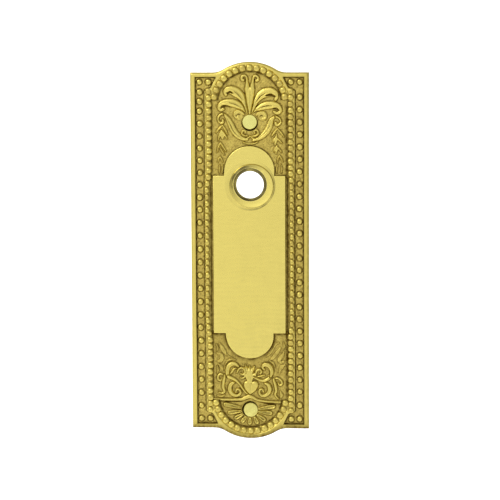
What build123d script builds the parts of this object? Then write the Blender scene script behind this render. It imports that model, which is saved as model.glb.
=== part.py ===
from build123d import *
import math
import os

# Cast brass backplate for a door knob, upright as it hangs on a door, with its two fixing screws.
# X runs across the plate, Z runs up it and the front faces -Y. The back bears on the door in the
# plane y = 0, and the origin is the point of that plane on the knob bore's axis.
# Sizes are in millimetres. A level is a height above the back face, towards the front.

# Outline of the casting: a tall rectangle whose two ends swell into a low crest
plate_width = 57.15
plate_height = 184.15
crest_rise = 5.1
crown_radius = 24.0
foot_radius = 10.3

# Levels of the casting, each as a step above the one it stands on
ground_thickness = 2.4
moulding_step = 0.6
panel_step = 1.0
rail_step = 1.2
collar_step = 1.9
edge_bevel = 0.7

# Bands from the edge inwards: rail, channel of spaced beads, moulding of close beads, carved field
side_rail = 2.4
end_rail = 2.2
channel_width = 4.3
moulding_width = 3.3
spandrel_reach = 9.9
spandrel_foot = 7.5
spandrel_depth = 4.9
top_arch_drop = 20.1
bottom_arch_drop = 21.1
arch_field_radius = 15.6
field_shoulder = 2.3

# Beads
channel_bead_diameter = 2.4
channel_bead_height = 0.8
channel_bead_inset = 4.5
channel_bead_pitch = 6.09
channel_bead_flat_count = 5
moulding_bead_diameter = 2.8
moulding_bead_height = 1.0
moulding_bead_pitch = 3.19
moulding_bead_flat_count = 6
arch_bead_radius = 17.3
arch_bead_pitch = 3.42
arch_bead_sweep = 158.0
bead_crown_share = 0.5
corner_bead_gap = 4.3

# Smooth raised panel, measured from the ends of the plate
upper_field_depth = 40.8
lower_field_depth = 39.9
panel_gap = 1.0
panel_top_arch = 12.2
panel_bottom_arch = 11.7
panel_top_shoulder = 14.3
panel_bottom_shoulder = 12.4

# Knob bore and its collar
bore_below_panel_top = 18.5
bore_radius = 8.05
ledge_hole_radius = 6.65
ledge_thickness = 1.3
collar_width = 2.4
collar_lip_radius = 1.15
lip_flat_count = 2

# Fixing screws and their holes
top_screw_drop = 28.85
bottom_screw_rise = 14.1
screw_head_radius = 3.65
screw_crown_height = 0.8
screw_crown_radius = 2.9
screw_shank_radius = 1.75
screw_length = 19.0
countersink_angle = 82.0
hole_clearance = 0.25
seat_clearance = 0.06

# Hollow back
bearing_rim = 3.2
back_hollow = 0.9
hollow_corner = 3.0
back_boss_width = 2.6
hollow_end_gap = 2.4

# Carving, drawn full size about the screw centres for a field of this half width
drawn_half_width = 18.6
leaf_rise = 1.2
scroll_rise = 0.9
relief_sink = 0.3
crest_base_share = 0.5
bud_run_count = 8
scroll_run_count = 10
husk_axis = 13.4
husk_reach = 2.3
husk_fall = 4.6
husk_ridge = 2.0
husk_tip = 0.7
flower_petal_count = 5
flower_centre = 18.2
flower_reach = 3.0
flower_waist = 1.3
shell_petal_count = 9
shell_first_angle = 10.0
shell_angle_step = 25.0
shell_half_width = 11.0
shell_depth = 7.2
shell_root = 5.0
petal_half_width = 1.1
petal_rim = 0.9

# Curls of the carving: the radius each starts at and winds in to
leaf_curl_radius = 1.7
leaf_curl_end = 1.0
bud_curl_radius = 2.0
large_curl_radius = 2.7
large_curl_end = 1.2
scroll_curl_radius = 1.8
lower_curl_radius = 2.4
curl_end = 0.8
curl_run_angle = 43.0

# Places and levels worked out from the sizes above
half_width = plate_width / 2
half_height = plate_height / 2
shoulder_z = half_height - crest_rise
moulding_level = ground_thickness + moulding_step
panel_level = ground_thickness + panel_step
rail_level = ground_thickness + rail_step
collar_level = panel_level + collar_step
channel_outer = half_width - side_rail
channel_inner = channel_outer - channel_width
field_half = channel_inner - moulding_width
field_top = half_height - top_arch_drop
field_bottom = -half_height + bottom_arch_drop
moulding_end = shoulder_z - end_rail - spandrel_depth - (spandrel_foot - channel_width) / 2
panel_half = field_half - panel_gap
panel_top = half_height - upper_field_depth
panel_bottom = -half_height + lower_field_depth
bore_z = panel_top - bore_below_panel_top
top_screw_z = half_height - top_screw_drop
bottom_screw_z = -half_height + bottom_screw_rise
carving_scale = field_half / drawn_half_width
carving_foot = ground_thickness - relief_sink
hole_radius = screw_head_radius + hole_clearance
cone_slope = math.tan(math.radians(countersink_angle / 2))


def raised(sketch, base, top):
    """Solid between two levels over a sketch drawn across (x) and up (y)."""
    return extrude(Plane.XZ.offset(base) * sketch, amount=top - base)


def turned(profile, z):
    """Solid turned about the front-to-back axis at height z from corners given as (radius, level)."""
    outline = Polyline(*[(radius, -level) for radius, level in profile], close=True)
    return Pos(0, 0, z) * revolve(make_face(outline), Axis.Y)


def crested_end(top_z, sign):
    """Edges of one end of the outline, from the right shoulder over the crest to the left one."""
    turn = math.acos(1 - crest_rise / (crown_radius + foot_radius))
    span = (crown_radius + foot_radius) * math.sin(turn)
    crown_z = top_z - crown_radius
    foot_z = top_z - crest_rise + foot_radius
    half = turn / 2
    join = (crown_radius * math.sin(turn), crown_z + crown_radius * math.cos(turn))
    foot_middle = (span - foot_radius * math.sin(half), foot_z - foot_radius * math.cos(half))
    shoulder = (span, top_z - crest_rise)
    corner = (half_width, top_z - crest_rise)
    right = [
        Line(corner, shoulder),
        ThreePointArc(shoulder, foot_middle, join),
        ThreePointArc(join, (0, top_z), (-join[0], join[1])),
    ]
    left = [mirror(edge, about=Plane.YZ) for edge in right[:2]]
    edges = right + left
    return edges if sign > 0 else [mirror(edge, about=Plane.XZ) for edge in edges]


def plate_outline():
    """Outer outline of the casting as a face."""
    sides = [Line((x, shoulder_z), (x, -shoulder_z)) for x in (-half_width, half_width)]
    edges = crested_end(half_height, 1) + crested_end(half_height, -1) + sides
    return make_face(edges)


def channel_pocket(side):
    """Recess for the spaced beads on one side, with a spandrel at each end."""
    end_z = shoulder_z - end_rail
    upper_half = [
        (channel_outer, end_z),
        (channel_outer - spandrel_reach, end_z),
        (channel_outer - spandrel_foot, end_z - spandrel_depth),
        (channel_inner, moulding_end),
    ]
    lower_half = [(x, -z) for x, z in reversed(upper_half)]
    return make_face(Polyline(*[(side * x, z) for x, z in upper_half + lower_half], close=True))


def arched_field(arch_radius):
    """Rectangle as wide as the carved field with a round arch at each end."""
    top = field_top + field_shoulder
    bottom = field_bottom - field_shoulder
    body = Pos(0, (top + bottom) / 2) * Rectangle(2 * field_half, top - bottom)
    return body + [Pos(0, z) * Circle(arch_radius) for z in (field_top, field_bottom)]


def moulding_track():
    """Low track of the close beads: round both arches and down both sides."""
    strip = Rectangle(moulding_width, 2 * moulding_end)
    middle = (channel_inner + field_half) / 2
    strips = [Pos(side * middle, 0) * strip for side in (-1, 1)]
    return arched_field(arch_field_radius + moulding_width) + strips


def panel_shape():
    """Outline of the smooth panel: a rectangle with a narrower round arch at each end."""
    upper = panel_top - panel_top_shoulder
    lower = panel_bottom + panel_bottom_shoulder
    shape = Pos(0, (upper + lower) / 2) * Rectangle(2 * panel_half, upper - lower)
    for radius, tip, shoulder, sign in (
        (panel_top_arch, panel_top, upper, 1),
        (panel_bottom_arch, panel_bottom, lower, -1),
    ):
        centre = tip - sign * radius
        shape += Pos(0, centre) * Circle(radius)
        shape += Pos(0, (centre + shoulder) / 2) * Rectangle(2 * radius, abs(centre - shoulder))
    return shape


def hollow_back():
    """Pocket in the back between the screw holes, with a bearing rim and a boss round the bore."""
    width = plate_width - 2 * bearing_rim
    top = top_screw_z - screw_head_radius - hollow_end_gap
    bottom = bottom_screw_z + screw_head_radius + hollow_end_gap
    blank = Rectangle(width, top - bottom)
    pocket = Pos(0, (top + bottom) / 2) * chamfer(blank.vertices(), hollow_corner)
    pocket -= Pos(0, bore_z) * Circle(bore_radius + collar_width + back_boss_width)
    return raised(pocket, 0, back_hollow)


def collar():
    """Raised collar round the bore, from the ground of the field to a lip that is rounded over."""
    outer = bore_radius + collar_width
    crown = collar_level - collar_lip_radius
    profile = [(bore_radius - collar_lip_radius, back_hollow), (outer, back_hollow), (outer, crown)]
    for i in range(1, lip_flat_count + 1):
        turn = math.pi / 2 * i / lip_flat_count
        inset = collar_lip_radius * (1 - math.cos(turn))
        profile.append((outer - inset, crown + collar_lip_radius * math.sin(turn)))
    profile.append((bore_radius - collar_lip_radius, collar_level))
    return turned(profile, bore_z)


def bore_cut():
    """Knob bore from the front, down to the ledge, and the smaller hole through the ledge."""
    front = collar_level + collar_step
    return [
        Pos(0, 0, bore_z) * raised(Circle(bore_radius), ledge_thickness, front),
        Pos(0, 0, bore_z) * raised(Circle(ledge_hole_radius), -ledge_thickness, front),
    ]


def screw_hole(z):
    """Countersunk hole, open in front so that no carving fills it."""
    shank = screw_shank_radius + hole_clearance
    cone_foot = ground_thickness - (hole_radius - shank) / cone_slope
    front = rail_level + leaf_rise
    profile = [
        (0, -ledge_thickness),
        (shank, -ledge_thickness),
        (shank, cone_foot),
        (hole_radius, ground_thickness),
        (hole_radius, front),
        (0, front),
    ]
    return turned(profile, z)


def screw(z):
    """Countersunk screw with a low smooth crown and a plain shank, cut square at its end."""
    shank = screw_shank_radius
    rim = ground_thickness - (hole_clearance - seat_clearance) / cone_slope
    cone_foot = rim - (screw_head_radius - shank) / cone_slope
    tip = rim - screw_length
    crown = rim + screw_crown_height
    profile = [
        (0, tip),
        (shank, tip),
        (shank, cone_foot),
        (screw_head_radius, rim),
        (screw_crown_radius, crown),
        (0, crown),
    ]
    return turned(profile, z)


def bead(diameter, height, flats, level):
    """One bead: a low crown with flats round it, sunk a little into what carries it."""
    corners = [math.tau * (i + 0.5) / flats for i in range(flats)]
    radius = diameter / 2
    rings = []
    for reach, top in ((radius, level - relief_sink), (bead_crown_share * radius, level + height)):
        rings.append([(reach * math.cos(a), -top, reach * math.sin(a)) for a in corners])
    foot, crown = rings
    faces = [facet(*foot), facet(*crown)]
    for i in range(flats):
        faces.append(facet(foot[i - 1], foot[i], crown[i], crown[i - 1]))
    return Solid(Shell(faces))


def spread(start, end, pitch):
    """Evenly spaced places from start to end, as near to the pitch as whole beads allow."""
    gaps = max(1, round(abs(end - start) / pitch))
    return [start + (end - start) * i / gaps for i in range(gaps + 1)]


def channel_beads():
    """Spaced beads down both channels, with one more beside each end bead."""
    x = half_width - channel_bead_inset
    end_z = shoulder_z - end_rail - channel_bead_diameter
    one = bead(channel_bead_diameter, channel_bead_height, channel_bead_flat_count, ground_thickness)
    beads = []
    for side in (-1, 1):
        beads += [Pos(side * x, 0, z) * one for z in spread(-end_z, end_z, channel_bead_pitch)]
        beads += [Pos(side * (x - corner_bead_gap), 0, z) * one for z in (-end_z, end_z)]
    return beads


def moulding_beads():
    """Close beads down both mouldings, between the ends of the two bead arches."""
    x = (channel_inner + field_half) / 2
    top = field_top + field_shoulder + moulding_bead_diameter
    bottom = field_bottom - field_shoulder - moulding_bead_diameter
    one = bead(moulding_bead_diameter, moulding_bead_height, moulding_bead_flat_count, moulding_level)
    return [
        Pos(side * x, 0, z) * one
        for side in (-1, 1)
        for z in spread(bottom, top, moulding_bead_pitch)
    ]


def arch_beads(centre_z, sign):
    """Close beads round one end, on the band between the field and the crest."""
    one = bead(moulding_bead_diameter, moulding_bead_height, moulding_bead_flat_count, moulding_level)
    gaps = round(math.radians(arch_bead_sweep) * arch_bead_radius / arch_bead_pitch)
    beads = []
    for i in range(gaps + 1):
        angle = math.radians(arch_bead_sweep * (i / gaps - 0.5))
        x = arch_bead_radius * math.sin(angle)
        z = centre_z + sign * arch_bead_radius * math.cos(angle)
        beads.append(Pos(x, 0, z) * one)
    return beads


def at(u, v, level):
    """Point of the carving: u across, v up from the middle of its motif, at a level."""
    return (carving_scale * u, -level, carving_scale * v)


def along(values, share):
    """Value at a share, 0 to 1, of the way through evenly spaced values."""
    place = share * (len(values) - 1)
    before = min(int(place), len(values) - 2)
    part = place - before
    return values[before] * (1 - part) + values[before + 1] * part


def rounded(points, runs):
    """The points joined by a smooth line and set out again as that many straight runs."""
    line = Spline(*points)
    places = [line @ (i / runs) for i in range(runs + 1)]
    return [(place.X, place.Y) for place in places]


def stroke(spine, widths, rise):
    """Ridged stroke along the spine, its widths spread evenly over the points of it."""
    left, crest, right = [], [], []
    last = len(spine) - 1
    for i, (u, v) in enumerate(spine):
        ahead = spine[min(i + 1, last)]
        behind = spine[max(i - 1, 0)]
        run = math.dist(ahead, behind)
        half = along(widths, i / last) / 2
        du = half * (behind[1] - ahead[1]) / run
        dv = half * (ahead[0] - behind[0]) / run
        left.append(at(u + du, v + dv, carving_foot))
        right.append(at(u - du, v - dv, carving_foot))
        crest.append(at(u, v, ground_thickness + rise * (crest_base_share + half / max(widths))))
    return ridge(left, crest, right)


def facet(*corners):
    """Flat face with straight edges."""
    return Face(Wire.make_polygon(corners))


def ridge(left, crest, right):
    """Closed solid with a flat foot and two sloping sides that meet along a crest."""
    faces = [facet(left[0], crest[0], right[0]), facet(left[-1], crest[-1], right[-1])]
    faces.append(facet(*left, *reversed(right)))
    for edge in (left, right):
        for i in range(len(crest) - 1):
            faces.append(facet(edge[i], edge[i + 1], crest[i + 1]))
            faces.append(facet(edge[i], crest[i + 1], crest[i]))
    return Solid(Shell(faces))


def volute(centre, start_radius, end_radius, start_angle, turn):
    """Points of a curl that winds in round a centre; angles in degrees."""
    steps = round(abs(turn) / curl_run_angle)
    points = []
    for i in range(steps + 1):
        angle = math.radians(start_angle + turn * i / steps)
        radius = start_radius + (end_radius - start_radius) * i / steps
        points.append((centre[0] + radius * math.cos(angle), centre[1] + radius * math.sin(angle)))
    return points


def upper_motif():
    """Right half of the palmette, scrolls and husks, about the upper screw's centre."""
    leaf_curl = volute((3.1, 20.7), leaf_curl_radius, leaf_curl_end, 120, -230)
    s_curl = volute((13.4, 0.6), large_curl_radius, large_curl_end, 115, -285)
    upper_leaf = [(1.3, 5.3), (3.4, 10.4), (6.4, 13.7), (9.6, 14.8), (11.9, 13.4), (12.3, 11.4)]
    lower_leaf = [(2.0, 4.2), (4.6, 7.2), (8.2, 8.5), (11.8, 8.0), (14.4, 6.6), (14.6, 4.8), (13.0, 4.2)]
    bud = [(4.4, 5.0), (6.2, 5.6), (7.7, 4.0), (7.2, 2.0), (5.7, 1.8), (5.2, 3.0)]
    small_curl = volute((2.7, -5.2), bud_curl_radius, curl_end, -120, 360)
    s_leaf = [(0.9, -9.0), (3.6, -7.8), (6.3, -5.4), (8.2, -2.2), (10.0, 1.2)]
    parts = [
        stroke([(0.5, 4.8), (0.9, 10.5), (1.2, 15.5), (1.2, 19.0)] + leaf_curl,
               [0.9, 1.9, 2.0, 1.3, 1.2, 1.0, 0.8], leaf_rise),
        stroke(upper_leaf, [0.8, 2.6, 4.2, 3.2, 1.8, 0.8], leaf_rise),
        stroke(lower_leaf, [0.8, 2.2, 3.2, 3.0, 1.8, 1.3, 0.8], leaf_rise),
        stroke(rounded(bud, bud_run_count), [1.4, 2.0, 1.6, 1.0], scroll_rise),
        stroke(s_leaf + s_curl, [1.4, 3.2, 3.3, 2.4, 1.4, 1.2, 1.1, 0.8], leaf_rise),
        stroke(small_curl, [1.2, 1.2, 1.0, 0.8], scroll_rise),
    ]
    return parts + husk_drop()


def husk_drop():
    """Drop of nested husks below each large curl, each a chevron, smaller towards the foot."""
    husks = []
    for top, size in ((-2.6, 1.0), (-5.4, 0.95), (-9.6, 0.9), (-13.2, 0.8), (-16.8, 0.75), (-20.2, 0.7)):
        foot = top - husk_fall * size
        reach = husk_reach * size
        spine = [(husk_axis - reach, foot), (husk_axis, top), (husk_axis + reach, foot)]
        husks.append(stroke(spine, [husk_tip, husk_ridge * size, husk_tip], scroll_rise))
    return husks


def lower_motif():
    """Right half of the scrollwork above the lower screw, about that screw's centre."""
    upper_scroll = [
        (3.0, 15.4), (6.6, 14.6), (10.2, 15.8), (11.4, 19.0), (10.0, 22.2), (7.2, 23.0), (5.6, 21.2),
    ]
    lower_scroll = [(8.2, 13.8), (10.2, 12.4), (10.7, 10.0), (9.8, 7.6), (7.6, 6.4)]
    side_scroll = [(13.8, 6.2), (12.6, 8.6), (12.2, 12.0), (12.2, 14.0)]
    upper_curl = volute((4.3, 18.9), scroll_curl_radius, curl_end, 60, 300)
    lower_curl = volute((5.6, 9.7), lower_curl_radius, curl_end, -110, -300)
    side_curl = volute((14.2, 15.5), scroll_curl_radius, curl_end, 190, -300)
    long_leaf = [(12.8, 22.4), (14.6, 24.6), (14.7, 27.0), (13.9, 29.2), (14.1, 31.2), (15.4, 33.4)]
    return [
        stroke(rounded(upper_scroll, scroll_run_count), [1.0, 1.6, 2.2, 2.6, 2.4, 1.8, 1.0], leaf_rise),
        stroke(upper_curl, [1.2, 1.1, 0.8], scroll_rise),
        stroke(lower_scroll + lower_curl, [1.2, 2.4, 2.2, 1.4, 1.1, 0.8], leaf_rise),
        stroke(side_scroll + side_curl, [0.9, 1.3, 1.2, 1.1, 0.8], scroll_rise),
        stroke(long_leaf, [0.8, 2.4, 2.2, 0.8], scroll_rise),
    ]


def flower():
    """Small flat-petalled flower that rises to its middle."""
    rim = []
    for i in range(2 * flower_petal_count):
        angle = math.pi * (0.5 + i / flower_petal_count)
        radius = flower_waist if i % 2 else flower_reach
        rim.append(at(radius * math.cos(angle), flower_centre + radius * math.sin(angle), carving_foot))
    peak = at(0, flower_centre, ground_thickness + leaf_rise)
    sides = [facet(rim[i - 1], rim[i], peak) for i in range(len(rim))]
    return Solid(Shell(sides + [facet(*rim)]))


def lower_middle():
    """Pieces of the lower scrollwork that lie on the centre line."""
    shield = stroke([(0, 7.4), (0, 9.6), (0, 12.2), (0, 15.6)], [0.5, 4.2, 6.6, 2.4], leaf_rise)
    bar = [(-17.4, 4.9), (-6.0, 5.0), (-3.4, 5.6), (0, 6.8), (3.4, 5.6), (6.0, 5.0), (17.4, 4.9)]
    return [flower(), shield, stroke(bar, [1.2, 1.6, 1.6, 1.2], scroll_rise)]


def shell_fan():
    """Fan of hollow petals below and beside the lower screw, each a raised rim round a dip."""
    petals = []
    for i in range(shell_petal_count):
        turn = math.radians(shell_first_angle - shell_angle_step * i)
        tip = (shell_half_width * math.cos(turn), shell_depth * math.sin(turn))
        reach = math.hypot(*tip)
        cos, sin = tip[0] / reach, tip[1] / reach
        side = [(shell_root, petal_half_width / 2), (reach - petal_half_width, petal_half_width)]
        end = [(reach, petal_half_width / 2)]
        half = side + end
        rim = half + [(out, -across) for out, across in reversed(half)]
        spine = [(out * cos - across * sin, out * sin + across * cos) for out, across in rim]
        petals.append(stroke(spine, [petal_rim, petal_rim], scroll_rise))
    return petals


def knot():
    """Small shallow cup where the large leaves meet above the panel."""
    return stroke([(-3.5, -9.0), (0, -10.0), (3.5, -9.0)], [0.8, 1.9, 0.8], scroll_rise)


def carving():
    """All the carving, each half mirrored about the plate's centre line."""
    work = []
    for z, half, middle in (
        (top_screw_z, upper_motif(), [knot()]),
        (bottom_screw_z, lower_motif(), lower_middle() + shell_fan()),
    ):
        work += [Pos(0, 0, z) * piece for piece in half + middle]
        work += [Pos(0, 0, z) * mirror(piece, about=Plane.YZ) for piece in half]
    return work


def backplate():
    """The whole casting as one solid."""
    body = raised(plate_outline(), 0, rail_level)
    front_edges = body.faces().sort_by(Axis.Y)[0].edges()
    body = chamfer(front_edges, edge_bevel)
    body -= raised(moulding_track(), moulding_level, rail_level)
    for side in (-1, 1):
        body -= raised(channel_pocket(side), ground_thickness, rail_level)
    body -= raised(arched_field(arch_field_radius), ground_thickness, rail_level)
    body -= hollow_back()
    added = [raised(panel_shape(), back_hollow, panel_level), collar()]
    added += channel_beads() + moulding_beads()
    added += arch_beads(field_top, 1) + arch_beads(field_bottom, -1)
    added += carving()
    body = body + added
    body = body - bore_cut() - [screw_hole(z) for z in (top_screw_z, bottom_screw_z)]
    return body


def main():
    """Builds the three pieces and writes one file each, with the origin on the bore's axis."""
    os.makedirs("parts", exist_ok=True)
    pieces = {
        "backplate": backplate(),
        "top_screw": screw(top_screw_z),
        "bottom_screw": screw(bottom_screw_z),
    }
    for name, piece in pieces.items():
        export_step(Pos(0, 0, -bore_z) * piece, f"parts/{name}.step")


main()
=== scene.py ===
import logging
import math
from dataclasses import dataclass
from enum import Enum
from typing import Callable, ClassVar, Sequence

import bmesh
import bpy
import numpy as np
from mathutils import Matrix, Vector


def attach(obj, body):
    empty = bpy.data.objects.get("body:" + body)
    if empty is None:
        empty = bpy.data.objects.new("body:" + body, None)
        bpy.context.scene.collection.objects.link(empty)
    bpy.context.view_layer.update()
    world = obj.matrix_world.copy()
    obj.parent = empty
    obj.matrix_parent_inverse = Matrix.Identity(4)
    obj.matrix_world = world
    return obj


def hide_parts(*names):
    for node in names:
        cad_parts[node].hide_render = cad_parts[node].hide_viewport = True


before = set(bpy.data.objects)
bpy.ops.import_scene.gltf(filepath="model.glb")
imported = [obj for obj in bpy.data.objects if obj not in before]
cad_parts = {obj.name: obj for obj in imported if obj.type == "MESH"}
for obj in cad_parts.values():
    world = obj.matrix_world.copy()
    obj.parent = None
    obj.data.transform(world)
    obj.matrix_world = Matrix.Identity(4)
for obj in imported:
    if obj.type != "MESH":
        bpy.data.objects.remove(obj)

log = logging.getLogger("backplate")

MM = 0.001
IMAGE_SIDE = 500
SENSOR_WIDTH = 36.0
CAST_AGE, CAST_MATTE = 0.12, 1.0  # marks of metal left as cast, such as the back

Point = tuple[float, float]
Colour = tuple[float, float, float]
Array = np.ndarray


def linear(red: int, green: int, blue: int) -> Colour:
    """Turn a screen colour, 0 to 255, into the linear one that shaders take."""
    shares = (value / 255 for value in (red, green, blue))
    return tuple(s / 12.92 if s <= 0.04045 else ((s + 0.055) / 1.055) ** 2.4 for s in shares)


class Form(Enum):
    """Cross-sections that a carved stroke can have."""

    CORD = "half round"
    LEAF = "broad, with a vein down its middle"
    RIDGE = "two slopes that meet in a soft crest"
    BUD = "dome that falls steeply at its edge"
    CUT = "groove cut into what is there"


@dataclass(frozen=True)
class Ring:
    """One ring of a turned form.

    Radius and level are in the form's own unit; dx and dz move the ring off the axis. The last
    three values say how dark the metal is painted there: patina all round, painted shade strongest
    towards the upper left, and painted shade and shadow strongest towards the lower right, away
    from the light at the upper left.
    """

    radius: float
    level: float
    dx: float = 0.0
    dz: float = 0.0
    age: float = 0.0
    upper_left_shade: float = 0.0
    lower_right_shade: float = 0.0

    def patina_and_shade_at(self, turn: float) -> float:
        """How dark the metal is painted at one turn round the ring, in radians: patina plus painted
        shade by the side that faces the light.
        """
        toward = 0.5 + 0.5 * math.cos(turn - math.radians(135))
        return min(1.0, self.age + self.upper_left_shade * toward**2 + self.lower_right_shade * (1 - toward) ** 2)


@dataclass(frozen=True)
class PlateSizes:
    """Sizes and places of the casting in millimetres, about the middle of the plate."""

    half_width: float = 28.575
    half_height: float = 92.075
    crest_rise: float = 5.1
    crown_radius: float = 24.0
    foot_radius: float = 10.3
    ground: float = 2.4
    sunk_ground: float = 2.05
    moulding: float = 3.0
    panel: float = 3.4
    rail: float = 3.6
    collar: float = 5.3
    side_rail: float = 2.4
    end_rail: float = 2.2
    channel_width: float = 4.3
    moulding_width: float = 3.3
    spandrel_reach: float = 9.9
    spandrel_foot: float = 7.5
    spandrel_depth: float = 4.9
    top_arch_drop: float = 20.1
    bottom_arch_drop: float = 21.1
    arch_radius: float = 15.6
    field_shoulder: float = 2.3
    bore_z: float = 32.775
    top_screw_z: float = 63.225
    bottom_screw_z: float = -77.975
    back_hollow: float = 0.9
    bearing_rim: float = 3.2
    hollow_corner: float = 3.0
    hollow_gap: float = 6.05
    drift: float = 0.6
    drift_middle: float = -1.4
    drift_reach: float = 38.0

    @property
    def shoulder(self) -> float:
        """Height of the flat parts of both ends."""
        return self.half_height - self.crest_rise

    @property
    def channel_outer(self) -> float:
        """Distance of the channel's outer wall from the centre line."""
        return self.half_width - self.side_rail

    @property
    def channel_inner(self) -> float:
        """Distance of the channel's inner wall from the centre line."""
        return self.channel_outer - self.channel_width

    @property
    def field_half(self) -> float:
        """Half the width of the carved field."""
        return self.channel_inner - self.moulding_width

    @property
    def field_top(self) -> float:
        """Height of the upper arch's centre."""
        return self.half_height - self.top_arch_drop

    @property
    def field_bottom(self) -> float:
        """Height of the lower arch's centre."""
        return -self.half_height + self.bottom_arch_drop

    @property
    def moulding_end(self) -> float:
        """Height at which the straight mouldings end."""
        drop = self.end_rail + self.spandrel_depth + (self.spandrel_foot - self.channel_width) / 2
        return self.shoulder - drop

    def crest(self, x: Array) -> Array:
        """Rise of the end outline over its shoulders.

        Args:
            x: Places across the plate.

        Returns:
            The rise at each place.
        """
        reach = self.crown_radius + self.foot_radius
        turn = math.acos(1 - self.crest_rise / reach)
        span = reach * math.sin(turn)
        join = self.crown_radius * math.sin(turn)
        out = np.abs(x)
        inside = np.clip(self.crown_radius**2 - np.minimum(out, join) ** 2, 0, None)
        crown = self.crest_rise - self.crown_radius + np.sqrt(inside)
        run = np.clip(span - out, 0, self.foot_radius)
        foot = self.foot_radius - np.sqrt(self.foot_radius**2 - run**2)
        return np.where(out < join, crown, foot)


SIZES = PlateSizes()


def place(x: Array, z: Array, level: Array) -> Array:
    """Put plate places into the row frame.

    Args:
        x: Places across, in millimetres.
        z: Places up from the middle of the plate, in millimetres.
        level: Heights over the back face, in millimetres.

    Returns:
        Rows of three coordinates in metres.
    """
    x, z, level = np.broadcast_arrays(x, z, level)
    between = soft_step(np.abs(z - SIZES.drift_middle) - SIZES.drift_reach, 12.0)
    drift = SIZES.drift * between * (1 - (x / SIZES.half_width) ** 2)
    return np.stack([x - drift, -level, z - SIZES.bore_z], axis=-1).reshape(-1, 3) * MM


def soft_step(value: Array, width: float) -> Array:
    """Smooth step over a width, 1 well below zero and 0 well above it."""
    t = np.clip(0.5 - value / width, 0, 1)
    return t * t * (3 - 2 * t)


def bell(value: Array, width: float) -> Array:
    """Bell curve that is 1 at zero and fades over the width."""
    return np.exp(-((value / width) ** 2))


def blend(low: Array, high: Array, share: Array) -> Array:
    """Mix of two values by a share, 0 to 1."""
    return low * (1 - share) + high * share


def box_distance(x: Array, z: Array, half: float, bottom: float, top: float) -> Array:
    """Signed distance to an upright box about the centre line, negative inside.

    Args:
        x: Places across.
        z: Places up.
        half: Half the box's width.
        bottom: Height of its foot.
        top: Height of its top.

    Returns:
        The distance at each place.
    """
    out_x = np.abs(x) - half
    out_z = np.abs(z - (top + bottom) / 2) - (top - bottom) / 2
    outside = np.hypot(np.maximum(out_x, 0), np.maximum(out_z, 0))
    return outside + np.minimum(np.maximum(out_x, out_z), 0)


def circle_distance(x: Array, z: Array, centre: Point, radius: float) -> Array:
    """Signed distance to a circle, negative inside."""
    return np.hypot(x - centre[0], z - centre[1]) - radius


def polygon_distance(x: Array, z: Array, corners: Sequence[Point]) -> Array:
    """Signed distance to a polygon.

    Args:
        x: Places across.
        z: Places up.
        corners: The polygon's corners in order.

    Returns:
        The distances, negative inside.
    """
    nearest = np.full(np.shape(x), np.inf)
    inside = np.zeros(np.shape(x), bool)
    for i, (bx, bz) in enumerate(corners):
        ax, az = corners[i - 1]
        run_x, run_z = bx - ax, bz - az
        t = np.clip(((x - ax) * run_x + (z - az) * run_z) / (run_x**2 + run_z**2), 0, 1)
        nearest = np.minimum(nearest, np.hypot(x - ax - t * run_x, z - az - t * run_z))
        if run_z:
            inside ^= ((az > z) != (bz > z)) & (x < ax + (z - az) / run_z * run_x)
    return np.where(inside, -nearest, nearest)


def smooth_line(points: Sequence[Point], runs: int) -> Array:
    """Smooth line through points, sampled evenly between neighbours.

    Args:
        points: Points that the line goes through.
        runs: Runs between two neighbouring points.

    Returns:
        Rows of two coordinates.
    """
    knots = np.array([points[0], *points, points[-1]], float)
    knots[0] = 2 * knots[1] - knots[2]
    knots[-1] = 2 * knots[-2] - knots[-3]
    out = []
    for i in range(1, len(knots) - 2):
        p0, p1, p2, p3 = knots[i - 1 : i + 3]
        for step in range(runs):
            t = step / runs
            square = (2 * p0 - 5 * p1 + 4 * p2 - p3) * t * t
            cube = (3 * p1 - 3 * p2 + p3 - p0) * t**3
            out.append(0.5 * (2 * p1 + (p2 - p0) * t + square + cube))
    out.append(knots[-2])
    return np.array(out)


def spaced(
    low: float, high: float, coarse: float, fine: float, edges: Sequence[float], reach: float
) -> Array:
    """Grid lines that lie close together near the edges of a relief.

    Args:
        low: First line.
        high: Last line.
        coarse: Spacing away from the edges.
        fine: Spacing near the edges.
        edges: Places of the edges.
        reach: How far the fine spacing goes each side of an edge.

    Returns:
        The places of the lines in rising order.
    """
    lines = [low]
    while lines[-1] < high - fine / 2:
        here = lines[-1]
        near = any(abs(here + fine / 2 - edge) < reach for edge in edges)
        lines.append(min(here + (fine if near else coarse), high))
    lines[-1] = high
    return np.array(lines)


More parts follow.
